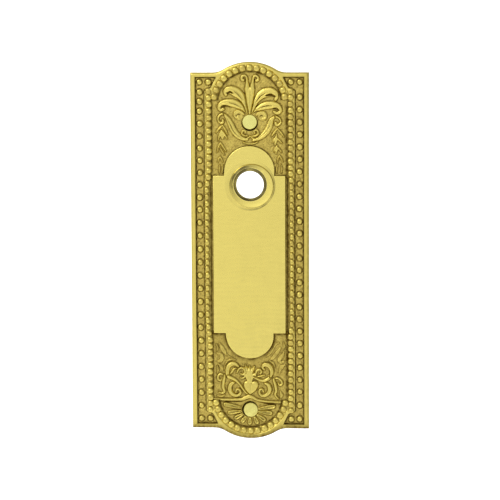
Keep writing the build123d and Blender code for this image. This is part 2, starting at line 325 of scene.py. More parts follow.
@dataclass
class Relief:
    """Height field over a grid, with the marks that its finish reads."""

    x: Array
    z: Array
    level: Array
    age: Array
    matte: Array
    keep: Array

    @classmethod
    def over(cls, x_lines: Array, z_lines: Array, level: float) -> "Relief":
        """Flat field over grid lines.

        Args:
            x_lines: Places of the upright lines.
            z_lines: Places of the level lines.
            level: Height of the whole field.

        Returns:
            The new field.
        """
        x, z = np.meshgrid(x_lines, z_lines)
        cells = np.ones((len(z_lines) - 1, len(x_lines) - 1), bool)
        return cls(x, z, np.full(x.shape, level), np.zeros(x.shape), np.zeros(x.shape), cells)

    def cell_centres(self) -> tuple[Array, Array]:
        """Find the middles of all cells.

        Returns:
            Their x and their z.
        """
        x = (self.x[:-1, :-1] + self.x[1:, 1:]) / 2
        z = (self.z[:-1, :-1] + self.z[1:, 1:]) / 2
        return x, z

    def cut_circle(self, centre: Point, radius: float) -> None:
        """Leave a round hole in the grid.

        Args:
            centre: Middle of the hole.
            radius: Radius of the hole.
        """
        def touched(cells: Array) -> Array:
            """Grid points at the corners of chosen cells.

            Args:
                cells: Which cells are chosen.

            Returns:
                Which points they touch.
            """
            points = np.zeros(self.x.shape, bool)
            for rows in (slice(None, -1), slice(1, None)):
                for columns in (slice(None, -1), slice(1, None)):
                    points[rows, columns] |= cells
            return points

        gone = circle_distance(*self.cell_centres(), centre, radius) < 0
        self.keep &= ~gone
        rim = touched(gone) & touched(self.keep)
        run_x, run_z = self.x - centre[0], self.z - centre[1]
        far = np.hypot(run_x, run_z) + 1e-9
        self.x = np.where(rim, centre[0] + run_x / far * radius, self.x)
        self.z = np.where(rim, centre[1] + run_z / far * radius, self.z)

    def shell(self, name: str, close: Callable[[bmesh.types.BMesh], None]) -> bpy.types.Object:
        """Make the field a closed mesh.

        Args:
            name: Name of the new piece.
            close: Closes the mesh below the field.

        Returns:
            The new object.
        """
        rows, columns = self.x.shape
        index = np.arange(rows * columns).reshape(rows, columns)
        corners = np.stack(
            [index[:-1, :-1], index[:-1, 1:], index[1:, 1:], index[1:, :-1]], axis=-1
        )[self.keep]
        used, faces = np.unique(corners, return_inverse=True)
        points = place(self.x, self.z, self.level)[used]
        mesh = bpy.data.meshes.new(name)
        mesh.from_pydata(points.tolist(), [], faces.reshape(-1, 4).tolist())
        mark(mesh, "age", self.age.ravel()[used])
        mark(mesh, "matte", self.matte.ravel()[used])
        bm = bmesh.new()
        bm.from_mesh(mesh)
        close(bm)
        age, matte = (bm.verts.layers.float[key] for key in ("age", "matte"))
        bm.verts.ensure_lookup_table()
        for vertex in bm.verts[len(points):]:
            vertex[age], vertex[matte] = CAST_AGE, CAST_MATTE
        bmesh.ops.recalc_face_normals(bm, faces=bm.faces)
        bm.to_mesh(mesh)
        bm.free()
        return finished(name, mesh)


def finished(name: str, mesh: bpy.types.Mesh, sharp_angle: float = 42.0) -> bpy.types.Object:
    """Put a mesh in the scene as a smooth-shaded object.

    Args:
        name: Name of the object.
        mesh: Its mesh.
        sharp_angle: Edges sharper than this, in degrees, stay sharp.

    Returns:
        The new object.
    """
    mesh.polygons.foreach_set("use_smooth", [True] * len(mesh.polygons))
    mesh.set_sharp_from_angle(angle=math.radians(sharp_angle))
    mesh.update()
    made = bpy.data.objects.new(name, mesh)
    bpy.context.scene.collection.objects.link(made)
    return made


def open_loops(bm: bmesh.types.BMesh) -> list[list[bmesh.types.BMEdge]]:
    """Closed loops of edges that have a face on one side only.

    Args:
        bm: The mesh.

    Returns:
        The edges of each loop.
    """
    waiting = {edge for edge in bm.edges if edge.is_boundary}
    loops = []
    while waiting:
        stack = [waiting.pop()]
        loop = []
        while stack:
            edge = stack.pop()
            loop.append(edge)
            for vertex in edge.verts:
                for near in vertex.link_edges:
                    if near in waiting:
                        waiting.remove(near)
                        stack.append(near)
        loops.append(loop)
    return loops


def drop_loop(
    bm: bmesh.types.BMesh, loop: Sequence[bmesh.types.BMEdge], level: float
) -> list[bmesh.types.BMEdge]:
    """Build a wall from a loop of edges straight back to a level.

    Args:
        bm: The mesh.
        loop: Edges to start from.
        level: Height over the back face that the wall ends at, in millimetres.

    Returns:
        The edges of the wall's far end.
    """
    made = bmesh.ops.extrude_edge_only(bm, edges=list(loop))["geom"]
    for part in made:
        if isinstance(part, bmesh.types.BMVert):
            part.co.y = -level * MM
    return [part for part in made if isinstance(part, bmesh.types.BMEdge) and part.is_boundary]


def fill_between(bm: bmesh.types.BMesh, edges: Sequence[bmesh.types.BMEdge]) -> None:
    """Fill the flat region between loops that lie in one upright plane.

    Args:
        bm: The mesh.
        edges: Edges of all the loops.
    """
    bmesh.ops.triangle_fill(
        bm, use_beauty=True, use_dissolve=False, edges=list(edges), normal=(0, 1, 0)
    )


def add_loop(
    bm: bmesh.types.BMesh, outline: Sequence[Point], level: float
) -> list[bmesh.types.BMEdge]:
    """Add a closed loop of edges at a level.

    Args:
        bm: The mesh.
        outline: Corners of the loop, in millimetres.
        level: Height of the loop over the back face.

    Returns:
        The new edges.
    """
    verts = [bm.verts.new(corner) for corner in place(*np.array(outline).T, level)]
    return [bm.edges.new((verts[i - 1], verts[i])) for i in range(len(verts))]


def arc(centre: Point, radius: float, start: float, end: float, steps: int) -> list[Point]:
    """Points of an arc, its angles in degrees."""
    angles = np.radians(np.linspace(start, end, steps + 1))
    return [(centre[0] + radius * math.cos(a), centre[1] + radius * math.sin(a)) for a in angles]


class Net:
    """Node tree put together node by node, each with a value or a socket for its inputs."""

    def __init__(self, tree: bpy.types.NodeTree) -> None:
        """Empty the tree and start on it."""
        tree.nodes.clear()
        self.tree = tree

    @classmethod
    def group(cls, name: str, kind: str, inputs: dict[str, str], outputs: dict[str, str]) -> "Net":
        """Start a group with named sockets.

        Args:
            name: Name of the group.
            kind: Shader or Geometry.
            inputs: Kind of each input.
            outputs: Kind of each output.

        Returns:
            The new tree.
        """
        net = cls(bpy.data.node_groups.new(name, kind + "NodeTree"))
        for way, sockets in (("INPUT", inputs), ("OUTPUT", outputs)):
            for label, sort in sockets.items():
                net.tree.interface.new_socket(label, in_out=way, socket_type="NodeSocket" + sort)
        return net

    def node(self, kind: str, inputs: dict | None = None, **settings: object) -> Sequence:
        """Add a node.

        Args:
            kind: Its type.
            inputs: Value or socket for each of its inputs that is not left alone.
            settings: Its other properties.

        Returns:
            The outputs of the node.
        """
        made = self.tree.nodes.new(kind)
        for key, value in settings.items():
            setattr(made, key, value)
        for key, value in (inputs or {}).items():
            if isinstance(value, bpy.types.NodeSocket):
                self.tree.links.new(value, made.inputs[key])
            else:
                made.inputs[key].default_value = value
        return made.outputs

    def math(self, kind: str, first: object, second: object) -> bpy.types.NodeSocket:
        """Join two values with a math node."""
        return self.node("ShaderNodeMath", {0: first, 1: second}, operation=kind)[0]

    def mix(self, kind: str, share: object, low: object, high: object) -> bpy.types.NodeSocket:
        """Mix two colours or two values by a share."""
        first, second, out = {"RGBA": (6, 7, 2), "FLOAT": (2, 3, 0)}[kind]
        return self.node("ShaderNodeMix", {0: share, first: low, second: high}, data_type=kind)[out]

    def end(self, results: dict[str, bpy.types.NodeSocket]) -> bpy.types.NodeTree:
        """Give a group its results and return its tree."""
        self.node("NodeGroupOutput", results)
        return self.tree

    def end_dressed(
        self, label: str, shape: bpy.types.NodeSocket, finish: bpy.types.NodeSocket
    ) -> bpy.types.NodeTree:
        """Give a group real geometry that wears a finish.

        Args:
            label: Name of the group's output.
            shape: The geometry.
            finish: Its material.

        Returns:
            The finished tree.
        """
        real = self.node("GeometryNodeRealizeInstances", {0: shape})[0]
        dressed = self.node("GeometryNodeSetMaterial", {"Geometry": real, "Material": finish})
        return self.end({label: dressed[0]})

    @classmethod
    def material(cls, name: str) -> tuple[bpy.types.Material, "Net"]:
        """Start a material.

        Args:
            name: Its name.

        Returns:
            The material and its empty tree.
        """
        made = bpy.data.materials.new(name)
        made.use_nodes = True
        return made, cls(made.node_tree)

    def end_shader(self, inputs: dict) -> None:
        """End a material in one surface shader with these inputs."""
        shader = self.node("ShaderNodeBsdfPrincipled", inputs)
        self.node("ShaderNodeOutputMaterial", {"Surface": shader["BSDF"]})


class ShaderKit:
    """Shader groups that the finishes share."""

    slow_share = 0.22  # scale of the mottle as a share of the grain's
    fleck = 1.6  # how strongly the mottle varies how dark and how matte the metal is
    bright_fleck = 0.2  # the part of that which bright metal shows too

    def __init__(self) -> None:
        """Build each group once."""
        self.grain = self._grain()
        self.patina = self._patina()
        self.marks = self._marks()

    def _grain(self) -> bpy.types.NodeTree:
        """Grain of a cast surface: a fine height and a slow mottle.

        Returns:
            The group.
        """
        net = Net.group("cast_grain", "Shader", {"Place": "Vector", "Scale": "Float"},
                        {"Height": "Float", "Mottle": "Float"})
        given = net.node("NodeGroupInput")
        slow_scale = net.math("MULTIPLY", given["Scale"], self.slow_share)
        noise, where = "ShaderNodeTexNoise", {"Vector": given["Place"]}
        fine = net.node(noise, where | {"Scale": given["Scale"], "Detail": 3.0, "Roughness": 0.6})
        slow = net.node(noise, where | {"Scale": slow_scale, "Detail": 4.0})
        return net.end({"Height": fine["Fac"], "Mottle": slow["Fac"]})

    def _patina(self) -> bpy.types.NodeTree:
        """Colour and roughness of brass from its marks, darkened towards the crevice colour by
        patina and by painted shade.

        Returns:
            The group.
        """
        colours = ("Bright", "Ground", "Crevice")
        values = ("Bright Roughness", "Ground Roughness", "Age", "Matte", "Mottle")
        net = Net.group("patina", "Shader",
                        dict.fromkeys(colours, "Color") | dict.fromkeys(values, "Float"),
                        {"Colour": "Color", "Roughness": "Float"})
        given = net.node("NodeGroupInput")
        spread = net.math("MULTIPLY", net.math("SUBTRACT", given["Mottle"], 0.5), self.fleck)
        flecks = net.math("MULTIPLY", spread, net.math("ADD", given["Matte"], self.bright_fleck))
        matte = net.node("ShaderNodeClamp", {0: net.math("ADD", given["Matte"], flecks)})[0]
        varied = net.math("MULTIPLY", given["Age"], net.math("ADD", spread, 1.0))
        age = net.node("ShaderNodeClamp", {0: varied})[0]
        base = net.mix("RGBA", matte, given["Bright"], given["Ground"])
        return net.end({
            "Colour": net.mix("RGBA", age, base, given["Crevice"]),
            "Roughness": net.mix(
                "FLOAT", matte, given["Bright Roughness"], given["Ground Roughness"]
            ),
        })

    def _marks(self) -> bpy.types.NodeTree:
        """Faint wavy ripples left across a surface by the polishing wheel.

        Returns:
            The group.
        """
        net = Net.group("polishing_marks", "Shader", {"Place": "Vector"}, {"Height": "Float"})
        places = net.node("NodeGroupInput")["Place"]
        sizes = {"Scale": 140.0, "Distortion": 9.0, "Detail": 2.0, "Detail Scale": 0.4}
        ripples = net.node("ShaderNodeTexWave", {"Vector": places} | sizes, bands_direction="Z")
        return net.end({"Height": ripples["Fac"]})


@dataclass(frozen=True)
class BrassFinish:
    """How one kind of brass surface looks; depths in millimetres."""

    name: str
    bright: Colour
    ground: Colour
    crevice: Colour
    bright_roughness: float
    ground_roughness: float
    grain_scale: float
    grain_depth: float
    mark_depth: float = 0.0

    def material(self, kit: ShaderKit) -> bpy.types.Material:
        """Build the finish.

        Args:
            kit: Shared shader groups.

        Returns:
            The new material.
        """
        made, net = Net.material(self.name)
        places = net.node("ShaderNodeTexCoord")["Object"]
        age, matte = (
            net.node("ShaderNodeAttribute", attribute_name=key)["Fac"] for key in ("age", "matte")
        )
        grain = net.node("ShaderNodeGroup", {"Place": places, "Scale": self.grain_scale},
                         node_tree=kit.grain)
        patina = net.node("ShaderNodeGroup", {
            "Bright": (*self.bright, 1),
            "Ground": (*self.ground, 1),
            "Crevice": (*self.crevice, 1),
            "Bright Roughness": self.bright_roughness,
            "Ground Roughness": self.ground_roughness,
            "Age": age,
            "Matte": matte,
            "Mottle": grain["Mottle"],
        }, node_tree=kit.patina)
        bump = {"Height": grain["Height"], "Distance": self.grain_depth * MM}
        normal = net.node("ShaderNodeBump", bump)["Normal"]
        if self.mark_depth:
            marks = net.node("ShaderNodeGroup", {"Place": places}, node_tree=kit.marks)
            bump = {"Height": marks["Height"], "Distance": self.mark_depth * MM, "Normal": normal}
            normal = net.node("ShaderNodeBump", bump)["Normal"]
        net.end_shader({
            "Metallic": 1.0,
            "Base Color": patina["Colour"],
            "Roughness": patina["Roughness"],
            "Normal": normal,
        })
        return made


BRIGHT = linear(222, 203, 106)
GROUND = linear(194, 173, 89)
CREVICE = linear(84, 62, 10)

CAST = BrassFinish("cast_brass", BRIGHT, GROUND, CREVICE, 0.32, 0.6, 2600.0, 0.06)
POLISHED = BrassFinish(
    "polished_brass", linear(237, 219, 119), BRIGHT, linear(112, 102, 58),
    0.24, 0.4, 900.0, 0.002, mark_depth=0.01,
)
BEADED = BrassFinish("bead_brass", linear(220, 202, 104), GROUND, CREVICE, 0.3, 0.5, 2200.0, 0.02)
SCREW = BrassFinish("screw_brass", linear(240, 235, 142), BRIGHT, CREVICE, 0.24, 0.4, 1800.0, 0.012)


@dataclass
class BeadString:
    """Run of cast beads: where each is, how wide, its length over its width and how it lies."""

    places: Array
    diameters: Array
    stretches: Array
    turns: Array
    level: float
    rise: float

    def gap(self, x: Array, z: Array, reach: float) -> Array:
        """Distance outside the nearest bead's edge.

        Args:
            x: Places across.
            z: Places up.
            reach: Distance past which the answer only has to be large.

        Returns:
            Signed distances, negative under a bead.
        """
        nearest = np.full(x.shape, reach)
        for (bx, bz), diameter in zip(self.places, self.diameters):
            span = reach + diameter
            near = (np.abs(x - bx) < span) & (np.abs(z - bz) < span)
            gaps = np.hypot(x[near] - bx, z[near] - bz) - diameter / 2
            nearest[near] = np.minimum(nearest[near], gaps)
        return nearest


@dataclass
class BeadBorders:
    """All the bead borders of the plate."""

    channel_inset: float = 4.4
    channel_diameter: float = 3.05
    channel_rise: float = 0.8
    left_runs: tuple[tuple[int, float], ...] = ((3, 14.0), (8, 47.5), (16, 103.25))
    right_runs: tuple[tuple[int, float], ...] = ((1, 7.1), (24, 144.0), (2, 13.65))
    string_axis: float = 19.8
    string_length: float = 3.05
    string_width: float = 3.15
    string_pinch: float = 0.75
    string_bow: float = 0.75
    string_rise: float = 0.95
    string_end: float = 78.1
    string_counts: tuple[int, int] = (50, 52)
    arch_width: float = 3.35
    arch_length: float = 3.3
    arch_string_radius: float = 17.35
    arch_string_sweep: float = 158.0
    arch_count: int = 15
    corner_gap: float = 4.3
    end_gap: float = 2.4
    jitter: float = 0.1
    seed: int = 7

    def strung(self, beads: Sequence[tuple], seed: int, spreads: Sequence[Point], level: float,
               rise: float) -> BeadString:
        """Shift, size and turn beads by chance.

        Args:
            beads: Place across and up, width, length and turn of each bead.
            seed: Seed of the chance.
            spreads: Lowest and highest factor on the widths and on the lengths, and addition
                to the turns.
            level: Height of the metal that the beads stand on.
            rise: Height of their crowns over it.

        Returns:
            The string.
        """
        chance = np.random.default_rng(seed)
        x, z, widths, lengths, turns = np.array(beads).T
        places = np.stack([x, z], axis=1)
        places += chance.uniform(-self.jitter, self.jitter, places.shape)
        wide, long, turned = (chance.uniform(*spread, len(x)) for spread in spreads)
        stretches = lengths / widths * long
        return BeadString(places, widths * wide, stretches, turns + turned, level, rise)

    def channel(self) -> BeadString:
        """Lay out the spaced round beads of both channels.

        Returns:
            The string.
        """
        x = SIZES.half_width - self.channel_inset
        end = SIZES.shoulder - SIZES.end_rail - self.end_gap
        spots: list[Point] = []
        for side, runs in ((-1, self.left_runs), (1, self.right_runs)):
            z = end
            spots.append((side * x, z))
            for gaps, length in runs:
                for _ in range(gaps):
                    z -= length / gaps
                    spots.append((side * x, z))
            spots += [(side * (x - self.corner_gap), z) for z in (-end, end)]
        beads = [(*spot, self.channel_diameter, self.channel_diameter, 0.0) for spot in spots]
        spreads = ((0.92, 1.04), (0.95, 1.08), (0.0, math.tau))
        return self.strung(beads, self.seed, spreads, SIZES.ground, self.channel_rise)

    def close(self) -> BeadString:
        """Lay out the close-set beads of the mouldings and both arches.

        Returns:
            The string.
        """
        beads: list[tuple] = []
        for side, count in zip((-1, 1), self.string_counts):
            for z in np.linspace(-self.string_end, self.string_end, count):
                middle = float(soft_step(abs(z - SIZES.drift_middle) - 36.5, 10.0))
                x = side * (self.string_axis + self.string_bow * middle)
                width = self.string_width - self.string_pinch * middle
                beads.append((x, z, width, self.string_length, 0.0))
        reach = self.arch_string_radius
        for centre, sign in ((SIZES.field_top, 1), (SIZES.field_bottom, -1)):
            for share in np.linspace(-0.5, 0.5, self.arch_count):
                angle = np.radians(share * self.arch_string_sweep)
                z = centre + sign * reach * math.cos(angle)
                turn = math.pi / 2 + sign * angle
                beads.append((reach * math.sin(angle), z, self.arch_width, self.arch_length, turn))
        spreads = ((0.94, 1.04), (0.95, 1.07), (-0.15, 0.15))
        return self.strung(beads, self.seed + 1, spreads, SIZES.moulding, self.string_rise)


@dataclass
class BeadMaker:
    """Turns a string of beads into one piece, with a tree that sets a bead at each point."""

    squareness: float = 2.0
    segments: int = 12
    height_variation: float = 0.08
    darkening: float = 0.0
    seed: int = 11

    def form(self) -> bpy.types.Object:
        """One bead of radius 1, dimpled at its crown and closed at its foot.

        Returns:
            The bead.
        """
        rings = [
            Ring(0.0, 0.86, age=0.3),
            Ring(0.24, 0.97),
            Ring(0.6, 0.88),
            Ring(0.88, 0.52, age=0.05),
            Ring(1.0, 0.0, age=0.4),
            Ring(1.0, -0.8, age=1.0),
        ]
        mesh = turned_mesh("bead_form", rings, self.segments, matte=None)
        for vertex in mesh.vertices:
            reach = math.hypot(vertex.co.x, vertex.co.z)
            if reach:
                across, along = (abs(side / reach) ** self.squareness for side in vertex.co.xz)
                grow = (across + along) ** (-1 / self.squareness)
                vertex.co.x *= grow
                vertex.co.z *= grow
        return finished("bead_form", mesh, 60.0)

    def tree(self) -> bpy.types.NodeTree:
        """Tree that sets a bead at each point and gives it its material.

        Returns:
            The tree.
        """
        net = Net.group("bead_setting", "Geometry", {
            "Places": "Geometry",
            "Bead": "Object",
            "Finish": "Material",
            "Height": "Float",
            "Variation": "Float",
            "Seed": "Int",
        }, {"Beads": "Geometry"})
        given = net.node("NodeGroupInput")
        radius, stretch, turn = (
            net.node("GeometryNodeInputNamedAttribute", {"Name": key}, data_type="FLOAT")[0]
            for key in ("bead_radius", "bead_stretch", "bead_turn")
        )
        bead = net.node("GeometryNodeObjectInfo", {"Object": given["Bead"]})
        spread = net.node("FunctionNodeRandomValue", {
            2: net.math("SUBTRACT", 1.0, given["Variation"]),
            3: net.math("ADD", 1.0, given["Variation"]),
            "Seed": given["Seed"],
        }, data_type="FLOAT")[1]
        scale = net.node("ShaderNodeCombineXYZ", {
            "X": radius,
            "Y": net.math("MULTIPLY", given["Height"], spread),
            "Z": net.math("MULTIPLY", radius, stretch),
        })
        setting = net.node("GeometryNodeInstanceOnPoints", {
            "Points": given["Places"],
            "Instance": bead["Geometry"],
            "Rotation": net.node("ShaderNodeCombineXYZ", {"Y": turn})[0],
            "Scale": scale[0],
        })
        return net.end_dressed("Beads", setting["Instances"], given["Finish"])

    def build(self, name: str, string: BeadString, finish: bpy.types.Material) -> bpy.types.Object:
        """Make one string's piece.

        Args:
            name: Name of the piece.
            string: Where the beads are and how large.
            finish: Their material.

        Returns:
            The new piece.
        """
        mesh = bpy.data.meshes.new(name + "_places")
        mesh.from_pydata(place(*string.places.T, string.level).tolist(), [], [])
        chance = np.random.default_rng(self.seed)
        mark(mesh, "bead_radius", string.diameters / 2 * MM)
        mark(mesh, "bead_stretch", string.stretches)
        mark(mesh, "bead_turn", string.turns)
        # beads are made matte by chance and by an even amount, and as painted shade more so towards
        # the right
        right = np.clip(string.places[:, 0] / SIZES.half_width, 0, 1)
        mark(mesh, "matte", chance.uniform(0.0, 0.6, len(right)) + self.darkening + 0.3 * right)
        holder = bpy.data.objects.new(name + "_places", mesh)
        bpy.context.scene.collection.objects.link(holder)
        bead = self.form()
        values = {
            "Bead": bead,
            "Finish": finish,
            "Height": string.rise * MM,
            "Variation": self.height_variation,
            "Seed": self.seed,
        }
        made = grown(name, holder, self.tree(), values)
        bpy.data.objects.remove(bead)
        return made


def grown(
    name: str, holder: bpy.types.Object, tree: bpy.types.NodeTree, values: dict
) -> bpy.types.Object:
    """Run a geometry tree on an object and keep the result as a plain mesh.

    Args:
        name: Name of the new piece.
        holder: Object that carries the tree's input, removed afterwards.
        tree: The geometry tree.
        values: Values for its named inputs.

    Returns:
        The new piece.
    """
    step = holder.modifiers.new("grow", "NODES")
    step.node_group = tree
    sockets = [item for item in tree.interface.items_tree if item.in_out == "INPUT"]
    keys = {item.name: item.identifier for item in sockets}
    for key, value in values.items():
        step[keys[key]] = value
    graph = bpy.context.evaluated_depsgraph_get()
    graph.update()
    mesh = bpy.data.meshes.new_from_object(holder.evaluated_get(graph), depsgraph=graph)
    mesh.name = name
    holder.modifiers.clear()
    bpy.data.objects.remove(holder)
    return finished(name, mesh)


def turned_mesh(
    name: str, rings: Sequence[Ring], segments: int, matte: float | None = 0.0
) -> bpy.types.Mesh:
    """Mesh turned about the front-to-back axis.

    Args:
        name: Name of the mesh.
        rings: Its rings in order.
        segments: Sides round the axis.
        matte: How matte the whole form is, 0 to 1, or None where that is set otherwise.

    Returns:
        The mesh, closed where a ring has no radius; an open end is closed flat, and a form with
        two open ends is joined into a band.
    """
    bm = bmesh.new()
    loops, patina_and_shade_values = [], []
    turns = [math.tau * i / segments for i in range(segments)]
    for ring in rings:
        here = turns if ring.radius else turns[:1]
        loops.append([
            bm.verts.new((ring.dx + ring.radius * math.cos(turn), -ring.level,
                          ring.dz + ring.radius * math.sin(turn)))
            for turn in here
        ])
        patina_and_shade_values += [ring.patina_and_shade_at(turn) for turn in here]
    for before, after in zip(loops, loops[1:]):
        bridge(bm, before, after)
    if len(loops[0]) > 1 and len(loops[-1]) > 1:
        bridge(bm, loops[-1], loops[0])
    elif len(loops[-1]) > 1:
        bm.faces.new(loops[-1])
    bmesh.ops.recalc_face_normals(bm, faces=bm.faces)
    mesh = bpy.data.meshes.new(name)
    bm.to_mesh(mesh)
    bm.free()
    mark(mesh, "age", patina_and_shade_values)
    if matte is not None:
        mark(mesh, "matte", [matte] * len(patina_and_shade_values))
    return mesh


def mark(mesh: bpy.types.Mesh, key: str, values: Sequence[float]) -> None:
    """Write one value per point, in the points' order, for the finishes or a tree to read."""
    made = mesh.attributes.new(key, "FLOAT", "POINT")
    made.data.foreach_set("value", np.asarray(values, np.float32))


def bridge(bm: bmesh.types.BMesh, before: list, after: list) -> None:
    """Join two rings of points, one of which may be a single point.

    Args:
        bm: The mesh.
        before: Points of one ring.
        after: Points of the other ring.
    """
    count = max(len(before), len(after))
    for i in range(count):
        corners = [before[i % len(before)], after[i % len(after)],
                   after[(i + 1) % len(after)], before[(i + 1) % len(before)]]
        bm.faces.new(list(dict.fromkeys(corners)))


@dataclass
class Casting:
    """Body of the plate: rails, channels, mouldings, sides and hollow back.

    The values below say how dark the metal is painted at each feature, 0 to 1: patina in its
    hollows, painted shadow of the mouldings along the field's edge, and painted shade on the right
    bevel, at the lower end and towards the right side.
    """

    wall: float = 0.32
    track_walls: float = 2.4
    groove: float = 0.22
    groove_width: float = 0.28
    bead_ring: float = 0.12
    bead_ring_depth: float = 0.28
    bead_ring_width: float = 0.25
    seat_depth: float = 0.1
    inner_seat_depth: float = 0.15
    edge_round: float = 1.2
    edge_fall: float = 0.7
    wave_height: float = 0.02
    grit_height: float = 0.05
    outline_age: float = 0.8
    field_edge_patina_and_shadow: float = 0.6
    right_field_edge_patina_and_shadow: float = 0.15
    field_age: float = 0.5
    bead_ring_age: float = 0.8
    seat_age: float = 0.22
    inner_seat_age: float = 0.6
    right_bevel_shade: float = 0.35
    lower_end_shade: float = 0.8
    grit_age: float = 0.2
    rightward_shade: float = 0.1
    seat_matte: float = 0.35
    matte: float = 0.12
    coarse: float = 0.3
    covered: float = 1.3
    bore_cut: float = 9.0
    screw_cut: float = 4.3
    bend_start: float = 60.0
    seed: int = 3

    def channel_corners(self, side: int) -> list[Point]:
        """Corners of one channel with its spandrels.

        Args:
            side: -1 for the left channel, 1 for the right one.

        Returns:
            The corners in order.
        """
        end = SIZES.shoulder - SIZES.end_rail
        upper = [
            (SIZES.channel_outer, end),
            (SIZES.channel_outer - SIZES.spandrel_reach, end),
            (SIZES.channel_outer - SIZES.spandrel_foot, end - SIZES.spandrel_depth),
            (SIZES.channel_inner, SIZES.moulding_end),
        ]
        lower = [(x, -z) for x, z in reversed(upper)]
        return [(side * x, z) for x, z in upper + lower]

    def build(self, strings: Sequence[BeadString]) -> bpy.types.Object:
        """Make the body.

        Args:
            strings: Bead strings, whose settings are sunk round each bead.

        Returns:
            The new piece.
        """
        s = SIZES
        across = (s.half_width, s.channel_outer, s.channel_inner, s.field_half)
        upright = [side * x for side in (-1, 1) for x in across]
        x_lines = spaced(-s.half_width, s.half_width, self.coarse, 0.15, upright, 0.4)
        ends = [side * z for side in (-1, 1) for z in (s.shoulder, s.shoulder - s.end_rail)]
        z_lines = spaced(-s.shoulder, s.shoulder, self.coarse, 0.16, ends, 0.5)
        field = Relief.over(x_lines, z_lines, s.rail)
        share = (np.abs(field.z) - self.bend_start) / (s.shoulder - self.bend_start)
        field.z = field.z + np.sign(field.z) * s.crest(field.x) * np.clip(share, 0, 1) ** 2
        self.shape(field, *strings)
        field.keep &= carved_field(*field.cell_centres()) > -self.covered
        return field.shell("plate_casting", self.close)

    def shape(self, field: Relief, small: BeadString, close: BeadString) -> None:
        """Give the field its heights and marks.

        Args:
            field: The grid.
            small: Spaced beads of the channels.
            close: Close-set beads of the mouldings and arches.
        """
        s = SIZES
        x, z = field.x, field.z
        chance = np.random.default_rng(self.seed)
        outer_arch = s.arch_radius + s.moulding_width
        track = np.minimum.reduce([
            circle_distance(x, z, (0, s.field_top), outer_arch),
            circle_distance(x, z, (0, s.field_bottom), outer_arch),
            box_distance(x, z, s.channel_inner, -s.moulding_end, s.moulding_end),
        ])
        channel = np.minimum(
            *(polygon_distance(x, z, self.channel_corners(side)) for side in (-1, 1))
        )
        carved = carved_field(x, z)
        edge = s.half_width - np.abs(x)
        end = s.shoulder + s.crest(x) - np.abs(z)
        in_channel = soft_step(channel, self.wall)
        in_field = soft_step(carved, self.wall)
        outside = 1 - in_field
        rough = in_channel * outside

        # main steps, the grooves along the channels and the rounded outer edge
        in_track = soft_step(track, self.track_walls * self.wall)
        level = blend(np.full(x.shape, s.rail), s.moulding, in_track)
        level = blend(level, s.ground, in_channel)
        level = blend(level, s.sunk_ground, in_field)
        level -= self.groove * bell(channel + self.wall / 2, self.groove_width) * outside
        rounded = np.clip(self.edge_round - np.minimum(edge, end), 0, None) / self.edge_round
        level -= self.edge_fall * rounded**2

        # slow waves of the worn rails and grit of the sand-cast ground
        waves = softened(chance.normal(0, 1, x.shape), 14)
        level += self.wave_height * np.clip(waves / waves.std(), -2, 1.2) * outside
        level = np.minimum(level, s.rail)
        grit = softened(chance.normal(0, 1, x.shape), 1)
        grit /= grit.std()
        level += rough * self.grit_height * grit

        # sunk settings of the beads
        ring = small.gap(x, z, 2.0) - self.bead_ring
        level -= self.bead_ring_depth * bell(ring, self.bead_ring_width) * rough
        seat = soft_step(-close.gap(x, z, 2.0) - 0.1, 0.6) * soft_step(track + 0.7, 1.0)
        seat *= outside * (1 - in_channel)
        inward = np.clip((-track - 1.7) / 1.4, 0, 1)
        field.level = level - (self.seat_depth + self.inner_seat_depth * inward) * seat

        # the field's edge is darker: patina and the painted shadow of the mouldings, more on the
        # right
        field_edge_patina_and_shadow = self.field_edge_patina_and_shadow + self.right_field_edge_patina_and_shadow * (x > 0)
        age = np.maximum.reduce([
            self.outline_age * bell(channel + 0.1, 0.3) * outside,
            field_edge_patina_and_shadow * bell(carved, 0.5),
            in_field * self.field_age,
            self.bead_ring_age * bell(ring, 0.24) * rough,
            (self.seat_age + self.inner_seat_age * inward) * seat,
            # painted shade on the right bevel and along the lower end, which face away from the
            # light
            self.right_bevel_shade * bell(np.where(x > 0, edge, s.half_width), 0.8),
            self.lower_end_shade * bell(np.where(z < 0, end, s.half_width), 2.0),
            rough * self.grit_age * np.clip(-grit, 0, 2),
        ])
        # painted shade that grows towards the right side, away from the light
        field.age = np.clip(age + self.rightward_shade * np.clip(x / s.half_width, 0, 1), 0, 1)
        field.matte = np.clip(rough + in_field + self.seat_matte * seat + self.matte, 0, 1)

    def close(self, bm: bmesh.types.BMesh) -> None:
        """Close the mesh with its hidden middle, its sides and its hollow back.

        Args:
            bm: Mesh that holds the front.
        """
        s = SIZES
        rim: list[bmesh.types.BMEdge] = []
        middle: list[bmesh.types.BMEdge] = []
        for loop in open_loops(bm):
